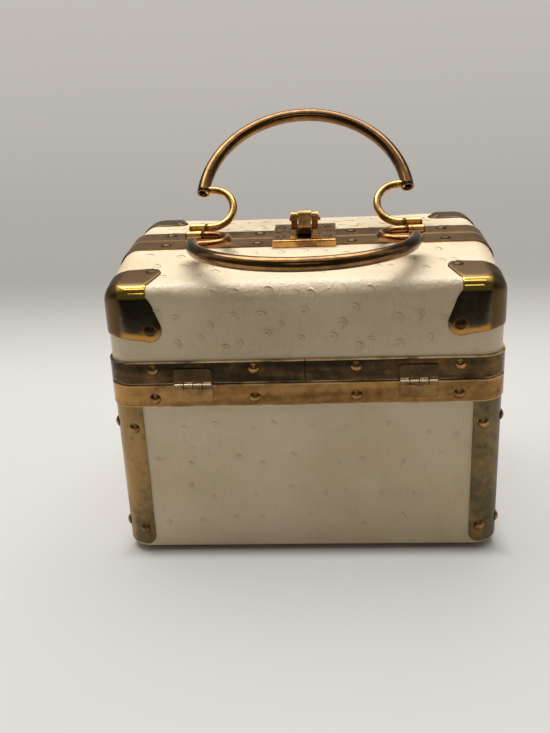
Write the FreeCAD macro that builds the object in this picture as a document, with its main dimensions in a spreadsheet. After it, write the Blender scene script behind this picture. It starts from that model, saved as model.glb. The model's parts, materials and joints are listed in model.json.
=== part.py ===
import FreeCAD, Part
import math
import os
import Sketcher

# Train case with a two-part lid. Millimetres and degrees. The origin is on the floor under the middle
# of the case, X runs along the long side, Y from front to back, Z up. The front half is modelled and
# the back half is its mirror image.
dimensions = {
    "case_width": 230.0,
    "case_depth": 159.0,
    "bottom_level": 3.0,
    "top_level": 180.4,
    "roof_drop": 5.1,
    "roof_flat": 20.0,
    "corner_radius": 14.0,
    "end_radius": 12.0,
    "fold_setback": 5.05,
    "waist_level": 116.0,
    "waist_gap": 0.8,
    "split_gap": 0.8,
    "cover_skin": 1.0,
    "board": 3.0,
    "lining_cloth": 0.6,
    "base_edge": 1.2,
    "band_thick": 1.6,
    "lower_band_height": 13.8,
    "upper_band_height": 14.0,
    "band_bevel": 0.5,
    "strip_thick": 0.8,
    "strip_inner": 97.6,
    "strip_foot": 6.0,
    "strip_round": 6.0,
    "edge_thick": 1.0,
    "edge_width": 18.0,
    "cap_thick": 0.8,
    "cap_top_inner": 89.0,
    "cap_petal_tip": 81.2,
    "cap_petal_low": 143.0,
    "cap_petal_round": 7.2,
    "cap_shoulder": 173.0,
    "cap_corner_low": 151.5,
    "cap_rivet_reach": 88.5,
    "cap_rivet_level": 149.6,
    "cap_top_back": 51.5,
    "cap_top_rivet": 57.0,
    "rivet_radius": 3.2,
    "rivet_rise": 1.8,
    "rivet_bevel": 1.1,
    "stud_radius": 2.2,
    "stud_rise": 1.2,
    "stud_bevel": 0.7,
    "band_rivet_near": 29.7,
    "band_rivet_far": 89.0,
    "band_rivet_end": 50.0,
    "upper_rivet_level": 125.5,
    "lower_rivet_level": 107.2,
    "strip_rivet_reach": 103.7,
    "strip_rivet_high": 87.5,
    "strip_rivet_low": 17.3,
    "edge_rivet_line": 11.8,
    "edge_rivet_near": 29.3,
    "edge_rivet_far": 87.0,
    "edge_rivet_level": 155.0,
    "underside_inset": 6.0,
    "hinge_centre": 65.5,
    "hinge_width": 22.0,
    "hinge_reach": 10.3,
    "hinge_relief": 1.9,
    "leaf_thick": 0.9,
    "knuckle_radius": 1.8,
    "knuckle_gap": 0.15,
    "pin_radius": 0.9,
    "pin_play": 0.05,
    "handle_line": 9.5,
    "handle_rise": 6.3,
    "barrel_centre": 69.0,
    "barrel_length": 9.0,
    "barrel_radius": 2.8,
    "journal_radius": 1.7,
    "rod_radius": 2.5,
    "rod_bend": 14.5,
    "rod_straight": 61.0,
    "rod_reach": 65.0,
    "tube_radius": 4.15,
    "tube_wall": 0.9,
    "arch_radius": 67.0,
    "arch_height": 88.0,
    "arch_foot": 26.5,
    "front_lean": 86.5,
    "back_lean": 47.0,
    "clasp_half": 19.7,
    "clasp_near": 0.6,
    "clasp_far": 20.6,
    "clasp_top": 4.4,
    "clasp_sheet": 1.2,
    "clasp_window": 4.2,
    "clasp_window_end": 16.8,
    "rail_near": 4.5,
    "rail_far": 8.4,
    "rail_rise": 2.0,
    "clasp_rivet_x": 14.5,
    "clasp_rivet_y": 11.5,
    "lever_half": 4.0,
    "pivot_back": 4.0,
    "pivot_rise": 13.5,
    "ear_radius": 2.6,
    "lever_eye": 2.4,
    "clasp_pin_radius": 1.2,
    "tab_half": 10.0,
    "spring_half": 3.0,
}

doc = FreeCAD.newDocument("train_case")
sheet = doc.addObject("Spreadsheet::Sheet", "dims")
for row, (alias, number) in enumerate(dimensions.items(), start=1):
    sheet.set("A%d" % row, alias)
    sheet.set("B%d" % row, str(number))
    sheet.setAlias("B%d" % row, alias)
doc.recompute()


class Size:
    # A length that knows its value and the sheet expression it comes from.
    def __init__(self, value, text):
        self.value = value
        self.text = text

    def __add__(self, other):
        other = as_size(other)
        return Size(self.value + other.value, "(%s + %s)" % (self.text, other.text))

    def __sub__(self, other):
        other = as_size(other)
        return Size(self.value - other.value, "(%s - %s)" % (self.text, other.text))

    def __mul__(self, factor):
        return Size(self.value * factor, "(%s * %s)" % (self.text, factor))

    def __neg__(self):
        return Size(-self.value, "(0 - %s)" % self.text)


def as_size(number):
    if isinstance(number, Size):
        return number
    return Size(float(number), "(%s)" % number)


def dim(alias):
    return Size(dimensions[alias], "dims.%s" % alias)


def bind(feature, prop, size):
    feature.setExpression(prop, as_size(size).text)


half_width = dim("case_width") * 0.5
half_depth = dim("case_depth") * 0.5
top = dim("top_level")
lid_rim = dim("waist_level") + dim("waist_gap") * 0.5
base_rim = dim("waist_level") - dim("waist_gap") * 0.5
split = dim("split_gap") * 0.5
no_growth = as_size(0)


def new_body(label):
    body = doc.addObject("PartDesign::Body", label)
    body.Label = label
    return body


def new_sketch(body, role, level=0):
    sketch = body.newObject("Sketcher::SketchObject", body.Name + "_outline")
    plane = [feature for feature in body.Origin.OriginFeatures if feature.Role == role][0]
    sketch.AttachmentSupport = [(plane, "")]
    sketch.MapMode = "FlatFace"
    bind(sketch, "AttachmentOffset.Base.z", level)
    return sketch


def fix(sketch, kind, places, size, tag):
    # One driving constraint, bound to the sheet.
    size = as_size(size)
    index = sketch.addConstraint(Sketcher.Constraint(kind, *places, size.value))
    sketch.renameConstraint(index, tag)
    bind(sketch, "Constraints.%s" % tag, size)


def arc_between(start, end, radius, turn):
    # Arc of less than a half circle; turn is 1 for anticlockwise from start to end.
    middle = (start + end) * 0.5
    chord = end - start
    lift = math.sqrt(max(radius ** 2 - (chord.Length * 0.5) ** 2, 0.0))
    side = FreeCAD.Vector(-chord.y, chord.x, 0).normalize() * turn
    centre = middle + side * lift
    first = math.atan2(start.y - centre.y, start.x - centre.x)
    last = math.atan2(end.y - centre.y, end.x - centre.x)
    if turn < 0:
        first, last = last, first
    circle = Part.Circle(centre, FreeCAD.Vector(0, 0, 1), radius)
    return Part.ArcOfCircle(circle, first, last if last > first else last + 2 * math.pi)


def draw(sketch, corners, tag="p"):
    # A closed outline. Each corner is (x, y), or (x, y, radius, turn) where an arc leads to the next one.
    points = [FreeCAD.Vector(as_size(c[0]).value, as_size(c[1]).value, 0) for c in corners]
    ends = []
    for number, corner in enumerate(corners):
        start = points[number]
        end = points[(number + 1) % len(points)]
        if len(corner) == 2:
            index = sketch.addGeometry(Part.LineSegment(start, end), False)
            ends.append((index, 1, 2))
        else:
            radius = as_size(corner[2])
            index = sketch.addGeometry(arc_between(start, end, radius.value, corner[3]), False)
            ends.append((index, 1, 2) if corner[3] > 0 else (index, 2, 1))
    for number, (index, first, last) in enumerate(ends):
        following = ends[(number + 1) % len(ends)]
        sketch.addConstraint(Sketcher.Constraint("Coincident", index, last, following[0], following[1]))
    for number, corner in enumerate(corners):
        index, first, last = ends[number]
        fix(sketch, "DistanceX", (index, first), corner[0], "%sx%d" % (tag, number))
        fix(sketch, "DistanceY", (index, first), corner[1], "%sy%d" % (tag, number))
        if len(corner) > 2:
            fix(sketch, "Radius", (index,), corner[2], "%sr%d" % (tag, number))


def draw_circle(sketch, x, y, radius, tag):
    centre = FreeCAD.Vector(as_size(x).value, as_size(y).value, 0)
    circle = Part.Circle(centre, FreeCAD.Vector(0, 0, 1), as_size(radius).value)
    index = sketch.addGeometry(circle, False)
    fix(sketch, "DistanceX", (index, 3), x, tag + "x")
    fix(sketch, "DistanceY", (index, 3), y, tag + "y")
    fix(sketch, "Radius", (index,), radius, tag + "r")


def pad(body, sketch, length, side="One side", reverse=False):
    feature = body.newObject("PartDesign::Pad", body.Name + "_pad")
    feature.Profile = sketch
    feature.SideType = side
    feature.Reversed = reverse
    bind(feature, "Length", length)
    body.Tip = feature
    doc.recompute()
    return feature


def pocket(body, sketch, length, side="One side", reverse=False):
    before = body.Tip.Shape.Volume
    feature = body.newObject("PartDesign::Pocket", body.Name + "_pocket")
    feature.Profile = sketch
    feature.SideType = side
    feature.Reversed = reverse
    bind(feature, "Length", length)
    body.Tip = feature
    doc.recompute()
    if feature.Shape.isNull() or feature.Shape.Volume > before - 0.001:
        raise RuntimeError("%s takes nothing away" % feature.Name)
    return feature


def soften(body, kind, size, chosen):
    # A fillet or chamfer on the edges that pass the test.
    previous = body.Tip
    names = ["Edge%d" % (n + 1) for n, edge in enumerate(previous.Shape.Edges) if chosen(edge)]
    feature = body.newObject("PartDesign::" + kind, body.Name + "_" + kind.lower())
    feature.Base = (previous, names)
    bind(feature, "Radius" if kind == "Fillet" else "Size", size)
    body.Tip = feature
    doc.recompute()
    return feature


def near(a, b):
    return abs(a - as_size(b).value) < 0.001


def flat_at_z(edge, level):
    return near(edge.BoundBox.ZMin, level) and near(edge.BoundBox.ZMax, level)


def cut(label, base, tool):
    feature = doc.addObject("Part::Cut", label)
    feature.Base = base
    feature.Tool = tool
    doc.recompute()
    return feature


def common(label, base, tool):
    feature = doc.addObject("Part::Common", label)
    feature.Base = base
    feature.Tool = tool
    doc.recompute()
    return feature


def fuse(label, pieces):
    feature = doc.addObject("Part::MultiFuse", label)
    feature.Shapes = pieces
    doc.recompute()
    return feature


def mirror(label, source, normal):
    feature = doc.addObject("Part::Mirroring", label)
    feature.Source = source
    feature.Normal = FreeCAD.Vector(*normal)
    feature.Base = FreeCAD.Vector(0, 0, 0)
    doc.recompute()
    return feature


def group(label, pieces):
    feature = doc.addObject("Part::Compound", label)
    feature.Links = pieces
    doc.recompute()
    return feature


def rounded(x, y, radius):
    # A rectangle with round corners about the origin, anticlockwise.
    return [
        (-x + radius, -y), (x - radius, -y, radius, 1), (x, -y + radius), (x, y - radius, radius, 1),
        (x - radius, y), (-x + radius, y, radius, 1), (-x, y - radius), (-x, -y + radius, radius, 1),
    ]


def plan(grow):
    return rounded(half_width + grow, half_depth + grow, dim("corner_radius") + grow)


# The base: skin, board and lining are cups one inside the other.
def cup(label, outer, inner, floor, thickness, outside_edge=None):
    body = new_body(label)
    sketch = new_sketch(body, "XY_Plane", floor)
    draw(sketch, plan(outer))
    pad(body, sketch, base_rim - floor)
    if outside_edge:
        soften(body, "Chamfer", outside_edge, lambda edge: flat_at_z(edge, floor))
    hollow = new_sketch(body, "XY_Plane", base_rim)
    draw(hollow, plan(inner))
    pocket(body, hollow, base_rim - floor - thickness)
    return body


skin = dim("cover_skin")
board_face = -skin
lining_face = -skin - dim("board")
lining_inside = lining_face - dim("lining_cloth")
shell_floor = dim("bottom_level") + skin
lining_floor = shell_floor + dim("board")
base_cover = cup("base_cover", no_growth, board_face, dim("bottom_level"), skin, dim("base_edge"))
base_shell = cup("base_shell", board_face, lining_face, shell_floor, dim("board"))
base_lining = cup("base_lining", lining_face, lining_inside, lining_floor, dim("lining_cloth"))


# Bands round the mouth of the base and of each lid half.
def bevel_band(body, low, high):
    reach = dim("band_thick")

    def outer_rim(edge):
        box = edge.BoundBox
        if not (flat_at_z(edge, low) or flat_at_z(edge, high)):
            return False
        if edge.Curve.TypeId == "Part::GeomCircle":
            return near(edge.Curve.Radius, dim("corner_radius") + reach)
        along_x = near(abs(box.YMin), half_depth + reach) and near(abs(box.YMax), half_depth + reach)
        along_y = near(abs(box.XMin), half_width + reach) and near(abs(box.XMax), half_width + reach)
        return along_x or along_y

    soften(body, "Chamfer", dim("band_bevel"), outer_rim)


lower_band = new_body("lower_band")
lower_band_foot = base_rim - dim("lower_band_height")
lower_ring = new_sketch(lower_band, "XY_Plane", lower_band_foot)
draw(lower_ring, plan(dim("band_thick")), "a")
draw(lower_ring, plan(no_growth), "b")
pad(lower_band, lower_ring, dim("lower_band_height"))
bevel_band(lower_band, lower_band_foot, base_rim)

upper_band_top = lid_rim + dim("upper_band_height")
band_out_x = half_width + dim("band_thick")
band_out_y = half_depth + dim("band_thick")
corner_x = half_width - dim("corner_radius")
corner_y = half_depth - dim("corner_radius")
front_band_left = new_body("front_band_left")
band_plan = new_sketch(front_band_left, "XY_Plane", lid_rim)
draw(band_plan, [
    (-0.1, -half_depth), (-corner_x, -half_depth, dim("corner_radius"), -1), (-half_width, -corner_y),
    (-half_width, -split), (-band_out_x, -split),
    (-band_out_x, -corner_y, dim("corner_radius") + dim("band_thick"), 1),
    (-corner_x, -band_out_y), (-0.1, -band_out_y),
])
pad(front_band_left, band_plan, dim("upper_band_height"))
bevel_band(front_band_left, lid_rim, upper_band_top)


# Corner strips wrap the upright corners of the base.
strip_front_left = new_body("corner_strip_front_left")
strip_plan = new_sketch(strip_front_left, "XY_Plane", dim("strip_foot"))
strip_out_x = half_width + dim("strip_thick")
strip_out_y = half_depth + dim("strip_thick")
strip_side_end = half_depth - half_width + dim("strip_inner")
draw(strip_plan, [
    (-dim("strip_inner"), -half_depth), (-corner_x, -half_depth, dim("corner_radius"), -1),
    (-half_width, -corner_y), (-half_width, -strip_side_end), (-strip_out_x, -strip_side_end),
    (-strip_out_x, -corner_y, dim("corner_radius") + dim("strip_thick"), 1),
    (-corner_x, -strip_out_y), (-dim("strip_inner"), -strip_out_y),
])
pad(strip_front_left, strip_plan, lower_band_foot - dim("strip_foot"))
soften(
    strip_front_left, "Fillet", dim("strip_round"),
    lambda edge: flat_at_z(edge, dim("strip_foot")) and near(edge.Length, dim("strip_thick")),
)


# The lid half. Its form is a sloping roof with rolled ends, round upright corners and a front fold.
def lid_form(label, grow, rim, seam):
    out_x = half_width + grow
    out_y = half_depth + grow
    crown = top + grow
    eave = crown - dim("roof_drop")
    body = new_body(label)
    roll = dim("end_radius") + grow
    hoop = new_sketch(body, "XZ_Plane", -seam)
    draw(hoop, [
        (-out_x, rim), (out_x, rim), (out_x, crown - roll, roll, 1), (out_x - roll, crown),
        (-out_x + roll, crown, roll, 1), (-out_x, crown - roll),
    ])
    pad(body, hoop, out_y + seam + 3)
    setback = dim("fold_setback") + grow * 0.92
    fall = math.atan2(dimensions["roof_drop"], out_y.value - dimensions["roof_flat"])
    fold_radius = setback * math.tan(math.pi / 4 + fall / 2)
    roof = new_sketch(body, "YZ_Plane")
    draw(roof, [
        (-dim("roof_flat"), crown), (-dim("roof_flat"), crown + 5), (-out_y - 6, crown + 5),
        (-out_y - 6, rim - 2), (-out_y, rim - 2), (-out_y, eave - setback, fold_radius, -1),
        (-out_y + setback * math.cos(fall), eave + setback * math.sin(fall)),
    ])
    pocket(body, roof, top * 3, "Symmetric")
    radius = dim("corner_radius") + grow
    waste = new_sketch(body, "XY_Plane")
    arc_x = out_x - radius
    arc_y = out_y - radius
    draw(waste, [
        (arc_x, -out_y, radius, 1), (out_x, -arc_y), (out_x + 3, -arc_y), (out_x + 3, -out_y - 3),
        (arc_x, -out_y - 3),
    ], "a")
    draw(waste, [
        (-out_x, -arc_y, radius, 1), (-arc_x, -out_y), (-arc_x, -out_y - 3), (-out_x - 3, -out_y - 3),
        (-out_x - 3, -arc_y),
    ], "b")
    pocket(body, waste, top * 3, "Symmetric")
    return body


below_rim = lid_rim - 4
past_seam = as_size(4)
lid_outer = lid_form("lid_outer_form", no_growth, lid_rim, -split)
lid_skin_inside = lid_form("lid_skin_inside", board_face, below_rim, past_seam)
lid_board = lid_form("lid_board_form", board_face, lid_rim, -split)
lid_board_inside = lid_form("lid_board_inside", lining_face, below_rim, past_seam)
lid_cloth = lid_form("lid_cloth_form", lining_face, lid_rim, -split)
lid_cloth_inside = lid_form("lid_cloth_inside", lining_inside, below_rim, past_seam)
lid_cap_form = lid_form("lid_cap_form", dim("cap_thick"), lid_rim, -split)
front_lid_cover = cut("front_lid_cover", lid_outer, lid_skin_inside)
front_lid_shell = cut("front_lid_shell", lid_board, lid_board_inside)
front_lid_lining = cut("front_lid_lining", lid_cloth, lid_cloth_inside)

# Edge strip: a flat ribbon over the roof and down both ends, beside the split.
front_edge_strip = new_body("front_edge_strip")
ribbon = new_sketch(front_edge_strip, "XZ_Plane", split)
ribbon_x = half_width + dim("edge_thick")
ribbon_top = top + dim("edge_thick")
ribbon_arc = dim("end_radius") + dim("edge_thick")
arc_start_x = half_width - dim("end_radius")
arc_start_z = top - dim("end_radius")
draw(ribbon, [
    (half_width, upper_band_top), (ribbon_x, upper_band_top), (ribbon_x, arc_start_z, ribbon_arc, 1),
    (arc_start_x, ribbon_top), (-arc_start_x, ribbon_top, ribbon_arc, 1), (-ribbon_x, arc_start_z),
    (-ribbon_x, upper_band_top), (-half_width, upper_band_top),
    (-half_width, arc_start_z, dim("end_radius"), -1), (-arc_start_x, top),
    (arc_start_x, top, dim("end_radius"), -1), (half_width, arc_start_z),
])
pad(front_edge_strip, ribbon, dim("edge_width") - split)


# Corner caps: a thin shell over the top corner, cut to three petals with a rivet in each.
def petal_outline(near_x, tip_x, far_x, sign):
    low = dim("cap_petal_low")
    return [
        (near_x, dim("top_level") + 6), (near_x, dim("cap_shoulder")),
        (tip_x, dim("cap_rivet_level") + 1.2, dim("cap_petal_round"), -sign),
        (tip_x - as_size(5.4) * sign, low), (far_x, dim("cap_corner_low")), (far_x, dim("top_level") + 6),
    ]


cap_front_petal = new_body("cap_front_petal")
front_petal = new_sketch(cap_front_petal, "XZ_Plane", half_depth - 16)
draw(front_petal, petal_outline(-dim("cap_top_inner"), -dim("cap_petal_tip"), -half_width - 3, 1))
pad(cap_front_petal, front_petal, 20)

cap_end_petal = new_body("cap_end_petal")
end_petal = new_sketch(cap_end_petal, "YZ_Plane", -half_width - 4)
shift = half_width - half_depth
draw(end_petal, petal_outline(
    shift - dim("cap_top_inner"), shift - dim("cap_petal_tip"), -half_depth - 3, 1,
))
pad(cap_end_petal, end_petal, 20)

cap_top_petal = new_body("cap_top_petal")
top_petal = new_sketch(cap_top_petal, "XY_Plane", top - 20)
draw(top_petal, [
    (-half_width - 3, -half_depth - 3), (-dim("cap_top_inner"), -half_depth - 3),
    (-dim("cap_top_inner"), -77), (-83, -59, 6.2, 1), (-88, -dim("cap_top_back")),
    (-half_width - 3, shift - dim("cap_top_inner")),
])
pad(cap_top_petal, top_petal, 30)
cap_skin = cut("cap_skin", lid_cap_form, lid_outer)
cap_petals = fuse("cap_petals", [cap_front_petal, cap_end_petal, cap_top_petal])
front_cap_left = common("front_cap_left", cap_skin, cap_petals)


# Domed rivet heads. Each sits on the face it holds, with its axis along that face's normal.
def polygon_head(label, radius, rise, bevel):
    # A low many-sided head, bevelled towards a dome, standing on the XY plane.
    body = new_body(label)
    rim = new_sketch(body, "XY_Plane")
    turns = [2 * math.pi * step / head_sides for step in range(head_sides)]
    draw(rim, [(radius * math.cos(turn), radius * math.sin(turn)) for turn in turns])
    pad(body, rim, rise)
    soften(body, "Chamfer", bevel, lambda edge: flat_at_z(edge, rise))
    return body


head_sides = 10
rivet_head = polygon_head("rivet_head", dim("rivet_radius"), dim("rivet_rise"), dim("rivet_bevel"))
stud_head = polygon_head("stud_head", dim("stud_radius"), dim("stud_rise"), dim("stud_bevel"))


def rivets(label, seats, pattern=rivet_head):
    heads = []
    for place, normal in seats:
        head = doc.addObject("App::Link", label + "_head")
        head.LinkedObject = pattern
        seat = FreeCAD.Vector(*[as_size(value).value for value in place])
        turn = FreeCAD.Rotation(FreeCAD.Vector(0, 0, 1), FreeCAD.Vector(*normal))
        head.Placement = FreeCAD.Placement(seat, turn)
        heads.append(head)
    return group(label, heads)


front_face = (0, -1, 0)
back_face = (0, 1, 0)
cap_run = dimensions["case_depth"] / 2 + dimensions["cap_thick"] - dimensions["roof_flat"]
roof_slope = dimensions["roof_drop"] / cap_run
roof_normal = FreeCAD.Vector(0, -roof_slope, 1).normalize()
lower_seats = []
for sign in (-1, 1):
    for reach in (dim("band_rivet_near"), dim("band_rivet_far")):
        lower_seats.append(((reach * sign, -band_out_y, dim("lower_rivet_level")), front_face))
        lower_seats.append(((reach * sign, band_out_y, dim("lower_rivet_level")), back_face))
    for side in (-1, 1):
        end_place = (band_out_x * sign, dim("band_rivet_end") * side, dim("lower_rivet_level"))
        lower_seats.append((end_place, (sign, 0, 0)))
lower_band_rivets = rivets("lower_band_rivets", lower_seats)

strip_seats = []
side_reach = half_depth - half_width + dim("strip_rivet_reach")
lean = math.asin((dimensions["strip_rivet_reach"] - corner_x.value) / dimensions["corner_radius"])
arc_out = dimensions["corner_radius"] + dimensions["strip_thick"]
for sign in (-1, 1):
    for side in (-1, 1):
        for level in (dim("strip_rivet_high"), dim("strip_rivet_low")):
            for turn in (lean, math.pi / 2 - lean):
                out_x = sign * math.sin(turn)
                out_y = side * math.cos(turn)
                place = (corner_x.value * sign + arc_out * out_x, corner_y.value * side + arc_out * out_y, level)
                strip_seats.append((place, (out_x, out_y, 0)))
corner_strip_rivets = rivets("corner_strip_rivets", strip_seats)

band_seats = []
trim_seats = []
for sign in (-1, 1):
    end_face = (sign, 0, 0)
    for reach in (dim("band_rivet_near"), dim("band_rivet_far")):
        band_seats.append(((reach * sign, -band_out_y, dim("upper_rivet_level")), front_face))
    band_seats.append(((band_out_x * sign, -dim("band_rivet_end"), dim("upper_rivet_level")), end_face))
    for reach in (dim("edge_rivet_near"), dim("edge_rivet_far")):
        trim_seats.append(((reach * sign, -dim("edge_rivet_line"), ribbon_top), (0, 0, 1)))
    trim_seats.append(((ribbon_x * sign, -dim("edge_rivet_line"), dim("edge_rivet_level")), end_face))
    cap_level = dim("cap_rivet_level")
    cap_out = dim("cap_thick")
    trim_seats.append(((dim("cap_rivet_reach") * sign, -half_depth - cap_out, cap_level), front_face))
    trim_seats.append((((half_width + cap_out) * sign, shift - dim("cap_rivet_reach"), cap_level), end_face))
    roof_level = top + cap_out - (dim("cap_top_rivet") - dim("roof_flat")) * roof_slope
    trim_seats.append(((dim("cap_top_inner") * sign, -dim("cap_top_rivet"), roof_level), roof_normal))
front_band_rivets = rivets("front_band_rivets", band_seats)
front_trim_rivets = rivets("front_trim_rivets", trim_seats)
clasp_seats = [
    ((dim("clasp_rivet_x") * sign, -dim("clasp_rivet_y"), top + dim("clasp_top")), (0, 0, 1))
    for sign in (-1, 1)
]
front_clasp_rivets = rivets("front_clasp_rivets", clasp_seats, stud_head)

# Underside board, glued on below the skin's turned-in edges and set back from them.
base_underside = new_body("base_underside")
underside_plan = new_sketch(base_underside, "XY_Plane")
set_back = -dim("underside_inset")
draw(underside_plan, plan(set_back))
pad(base_underside, underside_plan, dim("bottom_level"))

# Hinges: two leaves with rolled knuckles on a loose pin. The axis stands off the front of the bands.
hinge_y = -band_out_y - dim("knuckle_radius")
hinge_z = dim("waist_level")
hinge_start = -dim("hinge_centre") - dim("hinge_width") * 0.5
knuckle_pitch = dim("hinge_width") * 0.25


def hinge_leaf(label, up, slots):
    body = new_body(label)
    tag = 0
    leaf = new_sketch(body, "XZ_Plane", band_out_y)
    far_edge = hinge_z + dim("hinge_reach") * up
    near_edge = hinge_z + dim("hinge_relief") * up
    left = hinge_start
    right = hinge_start + dim("hinge_width")
    draw(leaf, [(left, near_edge), (right, near_edge), (right, far_edge), (left, far_edge)])
    pad(body, leaf, dim("leaf_thick"))
    soften(
        body, "Fillet", 1.5,
        lambda edge: near(edge.Length, dim("leaf_thick")) and near(edge.BoundBox.ZMin, far_edge),
    )
    for slot in slots:
        start = hinge_start + knuckle_pitch * slot + dim("knuckle_gap") * 0.5
        length = knuckle_pitch - dim("knuckle_gap")
        web = new_sketch(body, "YZ_Plane", start)
        face = -band_out_y
        draw(web, [
            (face, hinge_z), (face, near_edge + as_size(0.5) * up),
            (face - dim("leaf_thick"), near_edge + as_size(0.5) * up), (face - dim("leaf_thick"), hinge_z),
        ])
        pad(body, web, length)
        barrel = new_sketch(body, "YZ_Plane", start)
        draw_circle(barrel, hinge_y, hinge_z, dim("knuckle_radius"), "c%d" % tag)
        pad(body, barrel, length)
        tag += 1
    bore = new_sketch(body, "YZ_Plane", hinge_start - 1)
    draw_circle(bore, hinge_y, hinge_z, dim("pin_radius") + dim("pin_play"), "bore")
    pocket(body, bore, dim("hinge_width") + 2, reverse=True)
    return body


front_leaf_low_left = hinge_leaf("hinge_lower_front_left", -1, (0, 2))
front_leaf_high_left = hinge_leaf("hinge_upper_front_left", 1, (1, 3))


def x_cylinder(name, radius, start, length, y, z):
    rod = doc.addObject("Part::Cylinder", name)
    bind(rod, "Radius", radius)
    bind(rod, "Height", length)
    turn = FreeCAD.Rotation(FreeCAD.Vector(0, 1, 0), 90)
    seat = FreeCAD.Vector(as_size(start).value, as_size(y).value, as_size(z).value)
    rod.Placement = FreeCAD.Placement(seat, turn)
    return rod


hinge_pin_length = dim("hinge_width") + 0.8
front_pin_left = x_cylinder(
    "hinge_pin_front_left", dim("pin_radius"), hinge_start - 0.4, hinge_pin_length, hinge_y, hinge_z,
)

# Handle brackets: a short barrel on a strap that is folded down to a foot on the edge strip.
axis_z = top + dim("handle_rise")
bracket_left = new_body("front_bracket_left")
barrel_start = -dim("barrel_centre") - dim("barrel_length") * 0.5
strap = new_sketch(bracket_left, "YZ_Plane", -dim("barrel_centre") - 2.5)
strap_y = -dim("handle_line")
draw(strap, [
    (strap_y - 5.5, ribbon_top), (strap_y + 4.5, ribbon_top), (strap_y + 4.5, ribbon_top + 0.9),
    (strap_y + 2.2, ribbon_top + 0.9, 1.2, -1), (strap_y + 1, ribbon_top + 2.1), (strap_y + 1, axis_z),
    (strap_y - 1, axis_z), (strap_y - 1, ribbon_top + 2.1, 1.2, -1), (strap_y - 2.2, ribbon_top + 0.9),
    (strap_y - 5.5, ribbon_top + 0.9),
])
pad(bracket_left, strap, 5)
barrel_ring = new_sketch(bracket_left, "YZ_Plane", barrel_start)
draw_circle(barrel_ring, strap_y, axis_z, dim("barrel_radius"), "c")
pad(bracket_left, barrel_ring, dim("barrel_length"))
barrel_bore = new_sketch(bracket_left, "YZ_Plane", barrel_start - 1)
draw_circle(barrel_bore, strap_y, axis_z, dim("journal_radius") + dim("pin_play"), "c")
pocket(bracket_left, barrel_bore, dim("barrel_length") + 2, reverse=True)


tube_sides = 12
rod_sides = 10


def x_prism(name, radius, start, length, y, z):
    rod = doc.addObject("Part::Prism", name)
    rod.Polygon = rod_sides
    bind(rod, "Circumradius", radius)
    bind(rod, "Height", length)
    turn = FreeCAD.Rotation(FreeCAD.Vector(0, 1, 0), 90)
    seat = FreeCAD.Vector(as_size(start).value, as_size(y).value, as_size(z).value)
    rod.Placement = FreeCAD.Placement(seat, turn)
    return rod


# Handles: an arched open tube on two C-shaped rods. Each is drawn upright in its own plane, with the
# pivot at its origin, and then leaned over.
def handle(name, lean_degrees, y):
    pivot = FreeCAD.Vector(0, as_size(y).value, axis_z.value)
    stand = FreeCAD.Placement(pivot, FreeCAD.Rotation(FreeCAD.Vector(1, 0, 0), lean_degrees))
    upright = FreeCAD.Rotation(FreeCAD.Vector(1, 0, 0), 90)

    def ring(label, big, small, sides, sweep, start, x, height):
        centre = FreeCAD.Vector(as_size(x).value, 0, as_size(height).value)
        first = FreeCAD.Placement(FreeCAD.Vector(), FreeCAD.Rotation(FreeCAD.Vector(0, 0, 1), start))
        hub = stand.multiply(FreeCAD.Placement(centre, upright)).multiply(first)
        section = doc.addObject("Part::RegularPolygon", label + "_section")
        section.Polygon = sides
        bind(section, "Circumradius", small)
        reach = FreeCAD.Vector(as_size(big).value, 0, 0)
        section.Placement = hub.multiply(FreeCAD.Placement(reach, upright))
        bow = doc.addObject("Part::Revolution", label)
        bow.Source = section
        bow.Base = hub.Base
        bow.Axis = hub.Rotation.multVec(FreeCAD.Vector(0, 0, 1))
        bind(bow, "Angle", sweep)
        bow.Solid = True
        return bow

    def bar(label, radius, start, length, height):
        rod = x_cylinder(label, radius, start, length, 0, height)
        rod.Placement = stand.multiply(rod.Placement)
        return rod

    def stick(label, start, length, height):
        rod = x_prism(label, dim("rod_radius"), start, length, 0, height)
        rod.Placement = stand.multiply(rod.Placement)
        return rod

    centre_height = dim("arch_height") - dim("arch_radius")
    rise = dimensions["arch_foot"] - centre_height.value
    skew = math.degrees(math.asin(rise / dimensions["arch_radius"]))
    sweep = as_size(round(180 - 2 * skew, 4))
    arch = dim("arch_radius")
    outer = ring(name + "_tube_outside", arch, dim("tube_radius"), tube_sides, sweep, skew, 0, centre_height)
    inner_radius = dim("tube_radius") - dim("tube_wall")
    inner = ring(name + "_tube_inside", arch, inner_radius, tube_sides, sweep, skew, 0, centre_height)
    tube = cut(name + "_tube", outer, inner)
    shoulder = dim("barrel_centre") - dim("barrel_length") * 0.5 - 0.3
    pin_end = dim("barrel_centre") + dim("barrel_length") * 0.5 + 0.3
    bend = dim("rod_bend")
    straight = dim("rod_straight")
    pieces = [
        stick(name + "_neck", straight, shoulder - straight, 0),
        bar(name + "_journal", dim("journal_radius"), shoulder, pin_end - shoulder, 0),
        bar(name + "_peened_end", dim("journal_radius") + 0.6, pin_end, 0.8, 0),
        ring(name + "_bend", bend, dim("rod_radius"), rod_sides, 180, 90, straight, bend),
        stick(name + "_root", straight, dim("rod_reach") - straight, bend * 2),
    ]
    whole = fuse(name + "_rod_blank", pieces)
    right = cut(name + "_rod_right", whole, outer)
    left = mirror(name + "_rod_left", right, (1, 0, 0))
    return tube, left, right


front_handle = handle("front_handle", dimensions["front_lean"], -dim("handle_line"))
back_handle = handle("back_handle", -dimensions["back_lean"], dim("handle_line"))


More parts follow.
